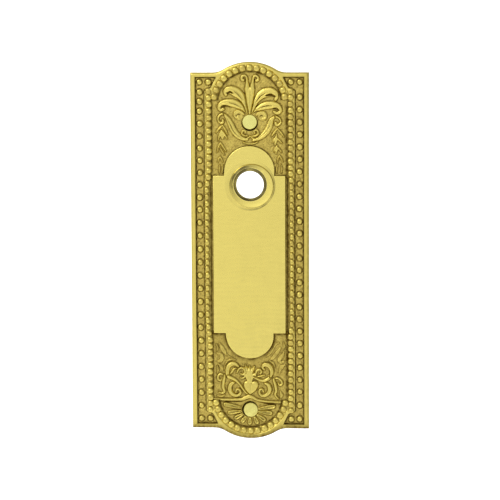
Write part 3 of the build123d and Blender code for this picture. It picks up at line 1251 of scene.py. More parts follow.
            # the outer rim reaches past the channels, the hidden middle does not
            reach = max(abs(vertex.co.x) for edge in loop for vertex in edge.verts) / MM
            if reach > s.channel_outer:
                rim = drop_loop(bm, loop, 0.0)
            else:
                middle = loop
        for edge in middle:
            for vertex in edge.verts:
                vertex.co.y = -s.sunk_ground * MM
        front_holes, bore, screws = [], [], []
        for z, radius, level, far in (
            (s.bore_z, self.bore_cut, s.back_hollow, bore),
            (s.top_screw_z, self.screw_cut, 0.0, screws),
            (s.bottom_screw_z, self.screw_cut, 0.0, screws),
        ):
            hole = add_loop(bm, arc((0, z), radius, 0, 360, 48)[:-1], s.sunk_ground)
            front_holes += hole
            far += drop_loop(bm, hole, level)
        fill_between(bm, middle + front_holes)
        corner = s.hollow_corner
        side = s.half_width - s.bearing_rim - corner
        top = s.top_screw_z - s.hollow_gap - corner
        bottom = s.bottom_screw_z + s.hollow_gap + corner
        pocket = [
            point
            for start, centre in zip(
                range(0, 360, 90), ((side, top), (-side, top), (-side, bottom), (side, bottom))
            )
            for point in arc(centre, corner, start, start + 90, 8)
        ]
        mouth = add_loop(bm, pocket, 0.0)
        fill_between(bm, rim + screws + mouth)
        floor = drop_loop(bm, mouth, s.back_hollow)
        fill_between(bm, floor + bore)


def carved_field(x: Array, z: Array) -> Array:
    """Signed distance to the outline of the carved field, negative inside.

    Args:
        x: Places across.
        z: Places up.

    Returns:
        The distance at each place.
    """
    s = SIZES
    low, high = s.field_bottom - s.field_shoulder, s.field_top + s.field_shoulder
    body = box_distance(x, z, s.field_half, low, high)
    top = circle_distance(x, z, (0, s.field_top), s.arch_radius)
    bottom = circle_distance(x, z, (0, s.field_bottom), s.arch_radius)
    return np.minimum(body, np.minimum(top, bottom))


@dataclass
class SmoothPanel:
    """Smooth raised panel between the carvings, with a narrower round arch at each end."""

    half_width: float = 17.575
    top: float = 51.675
    bottom: float = -52.175
    top_radius: float = 12.2
    bottom_radius: float = 11.7
    top_shoulder: float = 37.375
    bottom_shoulder: float = -39.775
    shift: float = -0.17
    foot: float = 1.7
    rounding: float = 0.32
    bore_cut: float = 9.0
    darkening: float = 0.09
    right_share: float = 0.3

    @property
    def centres(self) -> Point:
        """Heights of the centres of the upper and the lower arch."""
        return self.top - self.top_radius, self.bottom + self.bottom_radius

    def outline(self) -> list[Point]:
        """Corners of the panel, from its upper right shoulder round against the clock.

        Returns:
            The corners.
        """
        upper, lower = self.centres
        half, high, low = self.half_width, self.top_shoulder, self.bottom_shoulder
        corners = [
            (half, high),
            (self.top_radius, high),
            *arc((0, upper), self.top_radius, 0, 180, 48),
            (-self.top_radius, high),
            (-half, high),
            (-half, low),
            (-self.bottom_radius, low),
            *arc((0, lower), self.bottom_radius, 180, 360, 48),
            (self.bottom_radius, low),
            (half, low),
        ]
        return [(x + self.shift, z) for x, z in corners]

    def distance(self, x: Array, z: Array) -> Array:
        """Signed distance to the panel's outline, negative inside.

        Args:
            x: Places across.
            z: Places up.

        Returns:
            The distance at each place.
        """
        x = x - self.shift
        upper, lower = self.centres
        return np.minimum.reduce([
            box_distance(x, z, self.half_width, self.bottom_shoulder, self.top_shoulder),
            circle_distance(x, z, (0, upper), self.top_radius),
            circle_distance(x, z, (0, lower), self.bottom_radius),
            box_distance(x, z, self.top_radius, self.top_shoulder - 1, upper),
            box_distance(x, z, self.bottom_radius, lower, self.bottom_shoulder + 1),
        ])

    @staticmethod
    def inset(outline: Sequence[Point], amount: float) -> list[Point]:
        """Move an outline inwards.

        Args:
            outline: Corners against the clock.
            amount: How far to move each edge.

        Returns:
            The new corners.
        """
        points = np.array(outline)
        ahead = np.roll(points, -1, axis=0) - points
        ahead /= np.linalg.norm(ahead, axis=1)[:, None]
        normal = np.stack([-ahead[:, 1], ahead[:, 0]], axis=1)
        before = np.roll(normal, 1, axis=0)
        miter = (normal + before) / (1 + (normal * before).sum(axis=1))[:, None]
        return [tuple(point) for point in points + miter * amount]

    def build(self) -> bpy.types.Object:
        """Make the panel as a closed slab with a rounded edge.

        Returns:
            The new piece.
        """
        outline = self.outline()
        outline = [p for i, p in enumerate(outline) if math.dist(p, outline[i - 1]) > 1e-6]
        bm = bmesh.new()
        rings = [(0.0, self.foot, 1.0), (0.0, SIZES.panel - self.rounding, 0.7)]
        for turn, age in ((22.5, 0.3), (45.0, 0.0), (67.5, 0.0), (90.0, 0.0)):
            angle = math.radians(turn)
            level = SIZES.panel - self.rounding * (1 - math.sin(angle))
            rings.append((self.rounding * (1 - math.cos(angle)), level, age))
        rings.append((self.rounding + 0.05, SIZES.panel, 0.0))
        loops = [
            [bm.verts.new(spot) for spot in place(*np.array(self.inset(outline, amount)).T, level)]
            for amount, level, _ in rings
        ]
        patina_and_shade_values = [age for _, _, age in rings for _ in outline]
        for before, after in zip(loops, loops[1:]):
            bridge(bm, before, after)
        circle = arc((0, SIZES.bore_z), self.bore_cut, 0, 360, 64)[:-1]
        for loop, level in ((loops[-1], SIZES.panel), (loops[0], self.foot)):
            edges = [bm.edges.get((loop[i - 1], loop[i])) for i in range(len(loop))]
            fill_between(bm, edges + add_loop(bm, circle, level))
        bmesh.ops.bridge_loops(bm, edges=[edge for edge in bm.edges if edge.is_boundary])
        bmesh.ops.recalc_face_normals(bm, faces=bm.faces)
        mesh = bpy.data.meshes.new("smooth_panel")
        bm.to_mesh(mesh)
        bm.free()
        patina_and_shade_values += [0.0] * (len(mesh.vertices) - len(patina_and_shade_values))
        # darker towards the bottom and a little towards the right
        span = self.top - self.bottom
        for i, vertex in enumerate(mesh.vertices):
            down = (self.top - vertex.co.z / MM - SIZES.bore_z) / span
            right = vertex.co.x / MM / self.half_width
            patina_and_shade_values[i] += max(self.darkening * (down + self.right_share * right), 0.0)
        mark(mesh, "age", patina_and_shade_values)
        return finished("smooth_panel", mesh, 30.0)


PROFILES = {  # the two powers that round each cross-section
    Form.CORD: (2, 0.5),
    Form.LEAF: (2.6, 0.6),
    Form.RIDGE: (1.4, 1),
    Form.BUD: (3, 0.5),
    Form.CUT: (2, 0.5),
}


@dataclass
class Stroke:
    """One carved stroke: a line with a width at evenly spread places along it.

    Polish says how bright it is, and the darkness value how dark the bottom of a cut is painted. A
    joined stroke grows out of the ones below it, with no line between.
    """

    points: list[Point]
    widths: list[float]
    rise: float = 1.0
    form: Form = Form.LEAF
    polish: float = 1.0
    age: float = 1.0
    joined: bool = False

    line_width: ClassVar[float] = 0.28
    line_depth: ClassVar[float] = 0.16
    cut_margin: ClassVar[float] = 0.36
    cut_floor: ClassVar[float] = SIZES.ground - 0.25
    vein_shift: ClassVar[float] = 0.12
    vein_depth: ClassVar[float] = 0.2
    vein_age: ClassVar[float] = 0.35

    @staticmethod
    def measured(line: Array, halves: Array, x: Array, z: Array) -> tuple[Array, Array, Array]:
        """Measure places against a line of changing width.

        Args:
            line: Points of the line.
            halves: Half its width at each point.
            x: Places across.
            z: Places up.

        Returns:
            The distance as a share of the half width, the same with the sign of its side, and
            the gap to the edge.
        """
        ratio, gap = np.full((2, *x.shape), 9.0)
        side = np.zeros(x.shape)
        for i, run in enumerate(np.diff(line, axis=0)):
            dx, dz = x - line[i][0], z - line[i][1]
            t = np.clip((dx * run[0] + dz * run[1]) / (run @ run + 1e-12), 0, 1)
            far = np.hypot(dx - t * run[0], dz - t * run[1])
            half = blend(halves[i], halves[i + 1], t)
            here = far / half
            closer = here < ratio
            ratio = np.where(closer, here, ratio)
            side = np.where(closer, np.sign(run[0] * dz - run[1] * dx) * here, side)
            gap = np.minimum(gap, far - half)
        return ratio, side, gap

    def carve(self, field: Relief, origin: float) -> None:
        """Work the stroke into a field, on top of what is there.

        Args:
            field: Field to carve.
            origin: Height of the motif's middle on the plate.
        """
        line = smooth_line(self.points, 5) + np.array([0.0, origin])
        shares = np.linspace(0, 1, len(self.widths))
        halves = np.interp(np.linspace(0, 1, len(line)), shares, self.widths) / 2
        margin = max(halves) + (self.cut_margin if self.form is Form.CUT else 3 * self.line_width)
        low, high = line.min(axis=0) - margin, line.max(axis=0) + margin
        columns = np.nonzero((field.x[0] > low[0]) & (field.x[0] < high[0]))[0]
        rows = np.nonzero((field.z[:, 0] > low[1]) & (field.z[:, 0] < high[1]))[0]
        if not len(columns) or not len(rows):
            return
        window = np.s_[rows[0] : rows[-1] + 1, columns[0] : columns[-1] + 1]
        level, age, matte = field.level[window], field.age[window], field.matte[window]
        ratio, side, gap = self.measured(line, halves, field.x[window], field.z[window])
        power, root = PROFILES[self.form]
        body = np.clip(1 - ratio**power, 0, 1) ** root
        if self.form is Form.CUT:
            floor = np.minimum(level, self.cut_floor)
            field.level[window] = np.maximum(level - self.rise * body, floor)
            field.age[window] = np.maximum(age, self.age * np.clip(1.5 * body, 0, 1))
            return
        leaf = float(self.form is Form.LEAF)
        vein = side + self.vein_shift
        body *= 1 - leaf * self.vein_depth * bell(vein, 0.14)
        under = level - SIZES.ground
        cut = bell(np.clip(gap, 0, None), self.line_width)
        inside = soft_step(ratio - 0.97, 0.12)
        if self.joined:
            cut *= soft_step(under - 0.25, 0.3)
        raised = np.maximum(self.rise * body, under * (1.0 if self.joined else 0.4))
        under = under * (1 - 0.75 * cut) - self.line_depth * cut
        field.level[window] = SIZES.ground + blend(under, raised, inside)
        age = np.maximum(age, (0.45 + 0.4 * self.polish) * cut)
        field.age[window] = blend(age, leaf * self.vein_age * bell(vein, 0.1), inside)
        field.matte[window] = matte * (1 - self.polish * inside)


@dataclass
class Carving:
    """One carved end of the field."""

    name: str
    origin: float
    low: float
    high: float
    strokes: list[Stroke]
    seat_shift: Point
    cell: float = 0.16
    foot: float = 1.6
    overlap: float = 0.5
    overall_darkening: float = 0.0
    seat_cut: float = 4.25
    stipple: float = 0.05
    hollow_age: float = 0.7
    grit_age: float = 0.2
    panel_shadow_darkness: float = 0.9
    panel_shade: float = 0.55
    lower_panel_shade: float = 0.9
    edge_patina_and_shadow: float = 0.85
    seed: int = 5

    def build(self, panel: SmoothPanel) -> bpy.types.Object:
        """Make the carving as a closed slab let into the casting.

        Args:
            panel: The smooth panel, under whose edge the slab runs.

        Returns:
            The new piece.
        """
        half = SIZES.field_half + self.overlap
        columns = int(2 * half / self.cell)
        rows = int((self.high - self.low) / self.cell)
        field = Relief.over(
            np.linspace(-half, half, columns), np.linspace(self.low, self.high, rows), SIZES.ground
        )
        field.matte[:] = 1.0
        for stroke in self.strokes:
            stroke.carve(field, self.origin)
        self.weather(field, panel)
        x, z = field.cell_centres()
        field.keep &= (carved_field(x, z) < self.overlap) & (panel.distance(x, z) > -self.overlap)
        shift_x, shift_z = self.seat_shift
        field.cut_circle((shift_x, self.origin + shift_z), self.seat_cut)
        return field.shell(self.name, self.close)

    def weather(self, field: Relief, panel: SmoothPanel) -> None:
        """Soften the cuts, stipple the ground, darken the hollows with patina and paint shadow
        along the panel and the field's edge.

        Args:
            field: Field to weather.
            panel: The smooth panel, whose painted shadow is laid on the ground round its edge,
                wider further down.
        """
        chance = np.random.default_rng(self.seed)
        grit = softened(chance.normal(0, 1, field.x.shape), 2)
        grit /= grit.std()
        field.level += self.stipple * grit * (0.25 + 0.75 * field.matte)
        field.level = softened(field.level, 1)
        hollow = np.clip((softened(field.level, 5) - field.level) / 0.3, 0, 1)
        age = np.maximum(softened(field.age, 1), self.hollow_age * hollow)
        age = np.maximum(age, self.grit_age * np.clip(-grit, 0, 2) * field.matte)
        # the whole carving is made evenly darker by a set amount
        age = age + self.overall_darkening * (1 - age)
        outside = carved_field(field.x, field.z)
        under = panel.distance(field.x, field.z)
        # the panel shades more of the ground further down
        below = np.clip((panel.top_shoulder - field.z) / 40, 0, 1)
        shade = bell(np.clip(under, 0, None), self.panel_shade + self.lower_panel_shade * below)
        straight = soft_step(np.abs(field.z) - SIZES.field_top, 4.0)
        field.age = np.clip(np.maximum.reduce([
            age,
            self.panel_shadow_darkness * shade,
            # patina and painted shadow of the mouldings along the field's edge, wider on the right
            self.edge_patina_and_shadow * bell(outside + 0.2, 0.55),
            self.edge_patina_and_shadow * bell(outside + 0.7, 0.9) * straight * (field.x > 0),
        ]), 0, 1)
        low = np.minimum(field.level, SIZES.ground)
        field.level = np.where((outside > 0) | (under < 0), low, field.level)

    def close(self, bm: bmesh.types.BMesh) -> None:
        """Close the slab below.

        Args:
            bm: Mesh that holds the carved front.
        """
        edges: list[bmesh.types.BMEdge] = []
        for loop in open_loops(bm):
            edges += drop_loop(bm, loop, self.foot)
        fill_between(bm, edges)


def softened(values: Array, times: int) -> Array:
    """Values smoothed over neighbours, as many times as asked.

    Args:
        values: The values.
        times: How many times.

    Returns:
        The smoothed values.
    """
    for _ in range(2 * times):  # each pass smooths one way and turns the field
        wide = np.pad(values, ((1, 1), (0, 0)), mode="edge")
        values = ((wide[:-2] + 2 * wide[1:-1] + wide[2:]) / 4).T
    return values


def groove(points: list[Point], width: float, depth: float = 0.35) -> Stroke:
    """Cut line whose width tapers to both ends."""
    return Stroke(points, [0.5 * width, width, 0.5 * width], depth, Form.CUT)


def drops() -> list[Stroke]:
    """Both drops of husks below the large curls, about the upper screw, lowest first.

    Returns:
        The strokes.
    """
    bodies = [
        Stroke(points, widths, 0.55, Form.BUD, polish=1.2 * polish)
        for polish, points, widths in (
            (0.6, [(-13.4, -4.3), (-13.2, -6.2), (-13.1, -7.8)], [0.9, 2.5, 1.2]),
            (0.6, [(12.9, -6.0), (12.7, -8.4), (12.3, -10.9)], [0.8, 1.9, 1.0]),
            (0.45, [(13.2, -11.2), (13.0, -13.2), (12.6, -15.2)], [0.8, 1.7, 0.9]),
            (0.25, [(-14.6, -20.7), (-14.7, -22.6), (-14.6, -24.6)], [0.7, 1.1, 0.7]),
            (0.25, [(-13.0, -20.7), (-13.0, -22.6), (-13.1, -24.6)], [0.7, 1.1, 0.7]),
            (0.25, [(13.4, -20.4), (13.0, -22.4), (13.2, -24.6)], [0.7, 1.1, 0.7]),
            (0.25, [(15.0, -20.4), (15.5, -22.4), (15.4, -24.6)], [0.7, 1.1, 0.7]),
        )
    ]
    arms = [
        Stroke([(x, z), ((x + tip_x) / 2 + bow, (z + tip_z) / 2), (tip_x, tip_z)],
               [0.8, 1.3, 1.2, 0.7], 0.7, Form.RIDGE, polish=1.3 * polish, joined=True)
        for polish, bow, (x, z), (tip_x, tip_z) in (
            (0.3, -0.2, (-14.3, -16.6), (-15.5, -19.4)),
            (0.3, 0.2, (-14.3, -16.6), (-13.1, -19.4)),
            (0.4, -0.3, (-14.1, -9.8), (-15.7, -14.6)),
            (0.4, 0.0, (-14.3, -12.4), (-12.2, -15.8)),
            (0.6, 0.0, (-14.1, -9.9), (-11.4, -14.2)),
            (0.6, -0.2, (-13.6, -3.9), (-15.3, -9.0)),
            (0.6, 0.2, (-13.6, -3.9), (-10.8, -8.1)),
            (0.6, -0.2, (-13.1, -1.4), (-16.3, -5.1)),
            (0.6, 0.2, (-13.1, -1.4), (-10.7, -6.0)),
            (0.3, -0.2, (14.3, -16.0), (13.3, -19.6)),
            (0.3, 0.2, (14.3, -16.0), (16.0, -19.2)),
            (0.4, 0.2, (13.3, -12.0), (15.4, -14.6)),
            (0.3, -0.2, (12.9, -11.8), (11.6, -14.4)),
            (0.5, 0.2, (13.0, -7.6), (15.7, -10.3)),
            (0.4, -0.2, (12.7, -7.2), (11.0, -10.0)),
            (0.6, -0.1, (13.4, -3.1), (10.5, -6.9)),
            (0.6, 0.2, (13.4, -3.1), (16.6, -7.2)),
        )
    ]
    return bodies + arms


def palmette() -> list[Stroke]:
    """The six leaves above the upper screw and the grooves cut into them, lowest first.

    Returns:
        The strokes.
    """
    side = [1.0, 1.5, 2.5, 3.7, 4.1, 3.8, 2.6, 1.8, 1.7, 1.6]
    high = [1.0, 1.5, 2.7, 4.1, 4.9, 4.3, 2.8, 1.8, 1.8]
    tip = [1.6, 2.6, 2.3, 1.4, 1.15, 1.2, 1.35, 1.4, 1.5, 1.5]
    return [
        Stroke([(-1.0, 4.2), (-2.5, 5.7), (-3.7, 7.0), (-5.8, 8.3), (-8.3, 9.2), (-11.2, 9.3),
               (-13.6, 8.9), (-14.8, 7.1), (-13.9, 5.8), (-12.6, 6.3)], side, 0.9),
        Stroke([(1.4, 4.4), (2.9, 5.9), (4.2, 6.5), (6.4, 7.5), (8.7, 8.1), (11.4, 8.2),
               (13.9, 7.6), (15.0, 5.6), (13.6, 4.2), (12.0, 4.8)], side, 0.9),
        groove([(-13.2, 7.7), (-11.4, 7.7), (-9.6, 7.3)], 1.1, 0.8),
        groove([(-9.6, 9.3), (-6.8, 8.5), (-3.8, 6.7)], 0.45),
        groove([(11.4, 6.5), (12.8, 6.4), (13.7, 5.6)], 1.0, 0.8),
        groove([(4.4, 6.5), (7.4, 7.6), (10.8, 7.9)], 0.45),
        Stroke([(-1.2, 4.8), (-1.8, 7.4), (-2.8, 10.2), (-4.3, 12.6), (-6.4, 14.3), (-8.7, 15.4),
               (-10.8, 15.6), (-11.9, 14.5), (-11.3, 13.3)], high, 0.95),
        Stroke([(0.9, 4.6), (2.1, 7.2), (3.3, 10.1), (5.1, 12.6), (7.5, 14.0), (10.1, 14.6),
               (12.4, 14.1), (13.3, 12.4), (12.6, 10.9)], high, 0.95),
        groove([(-10.6, 13.9), (-9.3, 14.4), (-8.0, 13.8)], 1.1, 0.8),
        groove([(-7.2, 14.7), (-5.3, 13.1), (-3.2, 10.4)], 0.5),
        groove([(8.0, 12.7), (10.2, 13.1), (11.8, 12.2)], 1.3, 0.8),
        groove([(3.2, 9.4), (5.0, 12.0), (7.8, 13.9)], 0.5),
        Stroke([(0.05, 4.0), (0.05, 6.8), (0.05, 9.3), (0.1, 11.7), (0.15, 13.4), (0.2, 14.6)],
               [0.9, 2.0, 3.1, 3.9, 4.6, 4.8], 0.95),
        Stroke([(-1.1, 13.4), (-1.15, 15.6), (-1.05, 17.4), (-1.2, 19.2), (-1.2, 20.6),
               (-1.6, 21.9), (-2.6, 22.4), (-3.6, 21.8), (-3.7, 20.6), (-2.9, 20.1)], tip, 0.95,
               joined=True),
        Stroke([(1.35, 13.4), (1.45, 15.6), (1.35, 17.4), (1.6, 19.2), (1.75, 20.6), (2.1, 21.7),
               (3.0, 22.3), (4.0, 21.6), (4.2, 20.4), (3.4, 19.8)], tip, 0.95, joined=True),
    ]


def upper_strokes() -> list[Stroke]:
    """All strokes about the upper screw, lowest first.

    Returns:
        The strokes.
    """
    volute = [1.1, 1.4, 1.5, 1.5, 1.4, 1.3, 1.2]
    return drops() + [
        # large curls that end the two S-shaped leaves
        Stroke([(-11.8, 3.7), (-13.5, 3.9), (-15.0, 2.6), (-15.1, 0.9), (-14.2, -0.3),
               (-13.0, -0.2), (-12.9, 0.8)], [1.2, 1.2, 1.2, 1.2, 1.3, 1.5, 1.5], 0.9, Form.CORD),
        Stroke([(11.4, 2.2), (13.0, 2.5), (14.6, 1.5), (15.0, 0.0), (14.2, -1.2), (13.0, -1.4),
               (12.6, -0.5)], [1.2, 1.2, 1.2, 1.2, 1.3, 1.5, 1.7], 0.9, Form.CORD),
        Stroke([(-11.9, 3.6), (-10.3, 1.4), (-9.0, -1.2), (-7.7, -3.9), (-5.8, -6.3), (-3.3, -7.9),
               (-1.0, -8.5)], [1.1, 2.6, 3.2, 3.3, 3.1, 2.3, 1.1], 0.85, polish=0.85),
        Stroke([(11.7, 2.4), (10.4, 0.8), (9.7, -1.6), (8.4, -4.2), (6.6, -6.3), (4.2, -8.1),
               (1.6, -8.9)], [1.1, 2.5, 3.2, 3.2, 2.8, 1.9, 1.0], 0.85, polish=0.85),
        Stroke([(-10.9, 2.0), (-9.3, -1.2), (-7.4, -4.9), (-4.4, -7.2)], [0.2, 0.45, 0.4, 0.2],
               0.25, Form.CUT, age=0.6),
        Stroke([(10.6, 0.2), (9.3, -2.8), (7.0, -5.6), (4.4, -7.6)], [0.2, 0.4, 0.4, 0.2], 0.25,
               Form.CUT, age=0.5),
        # low volutes beside the screw
        Stroke([(-5.2, 3.7), (-4.9, 2.9)], [4.4, 4.2], 0.4, Form.BUD, polish=0.4),
        Stroke([(-2.8, 3.8), (-3.9, 4.9), (-5.4, 5.3), (-6.9, 4.7), (-7.3, 3.3), (-6.5, 2.2),
               (-5.4, 2.3)], volute, 0.65, Form.CORD, polish=0.5, joined=True),
        groove([(-6.3, 3.0), (-5.5, 3.8), (-4.4, 3.3)], 0.6, 0.3),
        Stroke([(6.0, 3.2), (6.2, 2.5)], [4.4, 4.2], 0.4, Form.BUD, polish=0.4),
        Stroke([(3.4, 3.4), (4.4, 4.5), (5.7, 4.8), (7.2, 4.4), (7.9, 3.1), (7.6, 1.8), (6.6, 1.5)],
               volute, 0.65, Form.CORD, polish=0.5, joined=True),
        groove([(4.9, 2.4), (5.7, 3.2), (6.7, 2.6)], 0.6, 0.3),
    ] + palmette() + [
        # small curls and knot under the screw
        Stroke([(-1.0, -6.6), (-2.4, -6.6), (-3.7, -5.6), (-3.3, -4.2), (-2.0, -4.3), (-2.2, -5.3)],
               [0.8, 1.0, 1.1, 1.1, 1.1, 1.0], 0.7, Form.CORD, polish=0.6),
        Stroke([(1.3, -6.7), (2.9, -6.6), (4.1, -5.5), (3.6, -3.9), (2.1, -4.1), (2.4, -5.3)],
               [0.8, 1.1, 1.2, 1.2, 1.1, 1.0], 0.7, Form.CORD, polish=0.7),
        Stroke([(-3.2, -9.7), (-1.6, -10.3), (0.4, -10.6), (2.4, -10.3), (4.0, -9.6)],
               [0.7, 1.0, 1.2, 1.0, 0.7], 0.6, Form.RIDGE, polish=0.8),
        Stroke([(-3.0, -8.4), (-1.2, -7.9), (0.3, -6.8)], [1.0, 1.2, 0.8], 0.8, Form.RIDGE,
               polish=0.8, joined=True),
        Stroke([(3.4, -8.5), (1.7, -7.9), (0.3, -6.8)], [1.0, 1.2, 0.8], 0.8, Form.RIDGE,
               polish=0.8, joined=True),
    ]


def shell_petals() -> list[Stroke]:
    """Petals of the shell, each with a shallow dip down its middle.

    Returns:
        The strokes.
    """
    tips = [(-13.3, 2.8), (-11.2, -1.6), (-8.0, -4.5), (-4.6, -6.4), (-0.7, -7.4), (3.5, -7.0),
            (7.2, -5.4), (10.6, -1.7), (12.1, 1.9)]
    petals = []
    for tip_x, tip_z in tips:
        reach = math.hypot(tip_x, tip_z)
        for start, end, widths, rise, form, age in (
            (3.8, reach - 0.9, [1.2, 1.9, 2.4, 2.3], 0.8, Form.BUD, 1.0),
            (4.6, reach - 1.05, [0.4, 0.9, 1.2, 1.1], 0.45, Form.CUT, 0.6),
        ):
            outs = (start, (reach + start) / 2, end)
            spine = [(out * (tip_x / reach), out * (tip_z / reach)) for out in outs]
            petals.append(Stroke(spine, widths, rise, form, age=age))
    return petals


def foliage() -> list[Stroke]:
    """Low leaves beside the panel's lower arch, about the lower screw.

    Returns:
        The strokes.
    """
    return [
        Stroke(points, widths, 0.45, Form.BUD, polish=0.35)
        for points, widths in (
            ([(-12.6, 21.6), (-11.7, 24.0), (-9.4, 25.2), (-7.2, 25.0)], [0.6, 1.0, 1.0, 0.6]),
            ([(-11.9, 28.3), (-10.8, 26.7), (-8.8, 26.0)], [0.5, 0.9, 0.5]),
            ([(-15.6, 22.6), (-14.4, 21.4), (-13.6, 19.6)], [1.0, 2.0, 0.8]),
            ([(-16.5, 28.2), (-14.7, 27.4), (-14.0, 25.9), (-14.7, 24.3), (-16.1, 24.2)],
             [1.0, 2.1, 2.4, 2.0, 1.0]),
            ([(-16.4, 21.8), (-16.0, 19.8), (-16.4, 18.0)], [0.7, 1.3, 0.7]),
            ([(-15.2, 33.0), (-14.1, 31.0), (-12.9, 29.0), (-12.0, 27.4)], [1.0, 2.3, 2.2, 0.8]),
            ([(-16.7, 32.6), (-16.2, 30.8), (-16.6, 29.2)], [0.7, 1.3, 0.7]),
            ([(14.0, 33.5), (12.4, 32.7), (11.2, 30.6), (9.8, 28.3), (7.8, 26.4)],
             [0.6, 0.9, 0.9, 0.8, 0.5]),
            ([(14.6, 31.0), (13.0, 28.6), (11.2, 26.3), (9.4, 24.7)], [0.9, 2.1, 1.9, 0.9]),
            ([(16.4, 28.8), (15.3, 26.7), (13.9, 25.0), (14.9, 23.7), (16.4, 24.4)],
             [0.9, 2.1, 1.9, 1.5, 0.9]),
            ([(9.3, 24.4), (11.0, 23.4), (12.1, 21.2)], [0.7, 1.3, 0.7]),
            ([(16.8, 22.6), (15.0, 21.2), (14.1, 18.6)], [0.9, 2.3, 0.9]),
            ([(16.2, 33.8), (16.5, 31.8), (16.2, 30.2)], [0.7, 1.2, 0.7]),
            ([(-16.6, 7.1), (-14.6, 6.6), (-12.7, 7.4)], [0.7, 1.3, 0.7]),
            ([(14.5, 9.4), (15.1, 7.6), (14.7, 6.0)], [0.7, 2.0, 0.8]),
        )
    ]


def scrolls() -> list[Stroke]:
    """Scrollwork above the shell, about the lower screw, lowest first.

    Returns:
        The strokes.
    """
    upper = [1.5, 2.2, 2.5, 2.5, 2.1, 1.2]
    lower = [1.5, 2.1, 2.4, 2.3, 1.9, 1.6, 1.4, 1.3, 1.2, 1.2]
    tail, stem = [1.9, 1.9, 1.7, 1.4, 1.2, 0.8], [1.3, 1.7, 1.7, 1.5, 1.3, 0.9]
    curl, heart = [1.0, 1.2, 1.3, 1.3, 1.2, 1.1], [0.4, 2.3, 3.8, 3.9]
    return [
        # side scrolls
        Stroke([(-13.0, 17.2), (-14.7, 17.9), (-16.1, 16.7), (-15.8, 15.0), (-14.4, 14.6),
               (-13.9, 15.8)], curl, 0.75, Form.CORD),
        Stroke([(-12.6, 17.2), (-13.3, 14.2), (-13.6, 11.5), (-12.9, 9.5), (-13.7, 8.3),
               (-15.6, 8.7)], stem, 0.8, Form.CORD),
        Stroke([(11.4, 15.5), (13.1, 16.0), (14.9, 14.9), (15.4, 13.2), (14.3, 12.4), (13.5, 13.5)],
               curl, 0.75, Form.CORD),
        Stroke([(11.2, 15.4), (12.1, 12.4), (12.5, 9.8), (12.0, 7.7), (13.6, 5.6)], stem, 0.8,
               Form.CORD),
        # inner curls beside the flower
        Stroke([(-6.7, 18.6), (-5.9, 20.3), (-4.5, 21.0), (-3.1, 20.2), (-2.8, 18.7), (-3.7, 17.6),
               (-4.8, 18.0)], curl, 0.85, Form.CORD),
        Stroke([(-3.0, 18.4), (-2.9, 16.8), (-3.9, 15.8), (-5.2, 16.0)], [0.9, 1.0, 1.0, 0.8], 0.75,
               Form.CORD, joined=True),
        Stroke([(2.2, 15.8), (2.4, 18.0), (3.1, 19.7), (4.4, 20.2), (5.4, 19.2), (4.7, 18.1)],
               curl, 0.85, Form.CORD),
        Stroke([(3.0, 16.4), (5.0, 16.9), (7.0, 17.5)], [0.8, 1.4, 0.8], 0.7, Form.RIDGE),
        Stroke([(-10.3, 17.6), (-9.2, 19.0), (-8.2, 20.4), (-6.9, 20.6)], [0.8, 1.6, 1.2, 0.7], 0.7,
               Form.RIDGE),
        # lower C-scrolls, each wound into a curl
        Stroke([(-8.2, 13.7), (-9.8, 12.6), (-10.3, 10.8), (-9.7, 8.6), (-7.9, 7.3), (-6.1, 7.3),
               (-5.0, 8.6), (-5.6, 10.1), (-6.9, 10.1), (-7.3, 8.9)], lower, 1.0),
        Stroke([(7.2, 13.4), (8.7, 12.5), (9.3, 10.8), (8.8, 8.7), (7.2, 7.3), (5.5, 7.2),
               (4.3, 8.4), (4.4, 10.0), (5.7, 10.4), (6.2, 9.2)], lower, 1.0),
        # upper C-scrolls and the bands that run from them down beside the heart
        Stroke([(9.7, 17.0), (8.6, 15.6), (6.8, 14.7), (4.8, 14.8), (3.0, 15.6), (1.4, 16.2)], tail,
               0.85, Form.CORD),
        Stroke([(-11.0, 16.2), (-11.5, 18.6), (-11.1, 21.2), (-9.5, 22.8), (-7.5, 22.9),
               (-6.0, 21.8)], upper, 1.0),
        Stroke([(9.9, 17.0), (10.4, 19.3), (9.7, 21.4), (8.1, 22.6), (6.5, 22.4), (5.8, 21.2),
               (6.7, 20.3)], upper + [1.2], 1.0),
        # heart, the band down its left side and the flower over it
        Stroke([(-0.3, 7.8), (-0.8, 9.3), (-1.4, 11.0), (-1.7, 12.6)], heart, 0.85, Form.BUD),
        Stroke([(-0.3, 7.8), (0.4, 9.3), (1.3, 11.0), (2.0, 12.6)], heart, 0.85, Form.BUD,
               joined=True),
        Stroke([(-10.9, 16.4), (-9.2, 15.8), (-7.2, 14.7), (-5.4, 12.8), (-3.7, 10.3), (-2.2, 8.4),
               (-0.6, 7.2)], [1.9, 1.9, 1.6, 1.3, 1.2, 1.1, 0.8], 0.85, Form.CORD),
        Stroke([(-0.3, 14.2), (-0.6, 16.6), (-0.6, 19.0)], [2.4, 4.3, 3.2], 0.85, Form.BUD,
               joined=True),
    ] + [
        # petals of the flower
        Stroke(points, widths, 0.8, Form.RIDGE, joined=True)
        for points, widths in (
            ([(-0.5, 18.4), (-0.4, 21.9)], [2.4, 1.0]),
            ([(-1.1, 18.4), (-1.9, 20.4), (-2.6, 22.6)], [2.2, 1.9, 0.8]),
            ([(0.1, 18.2), (1.0, 20.2), (1.9, 21.8)], [2.2, 1.9, 0.8]),
            ([(-1.4, 17.0), (-3.2, 17.4)], [2.2, 1.0]),
            ([(0.5, 17.2), (2.3, 18.0)], [2.2, 1.0]),
        )
    ]


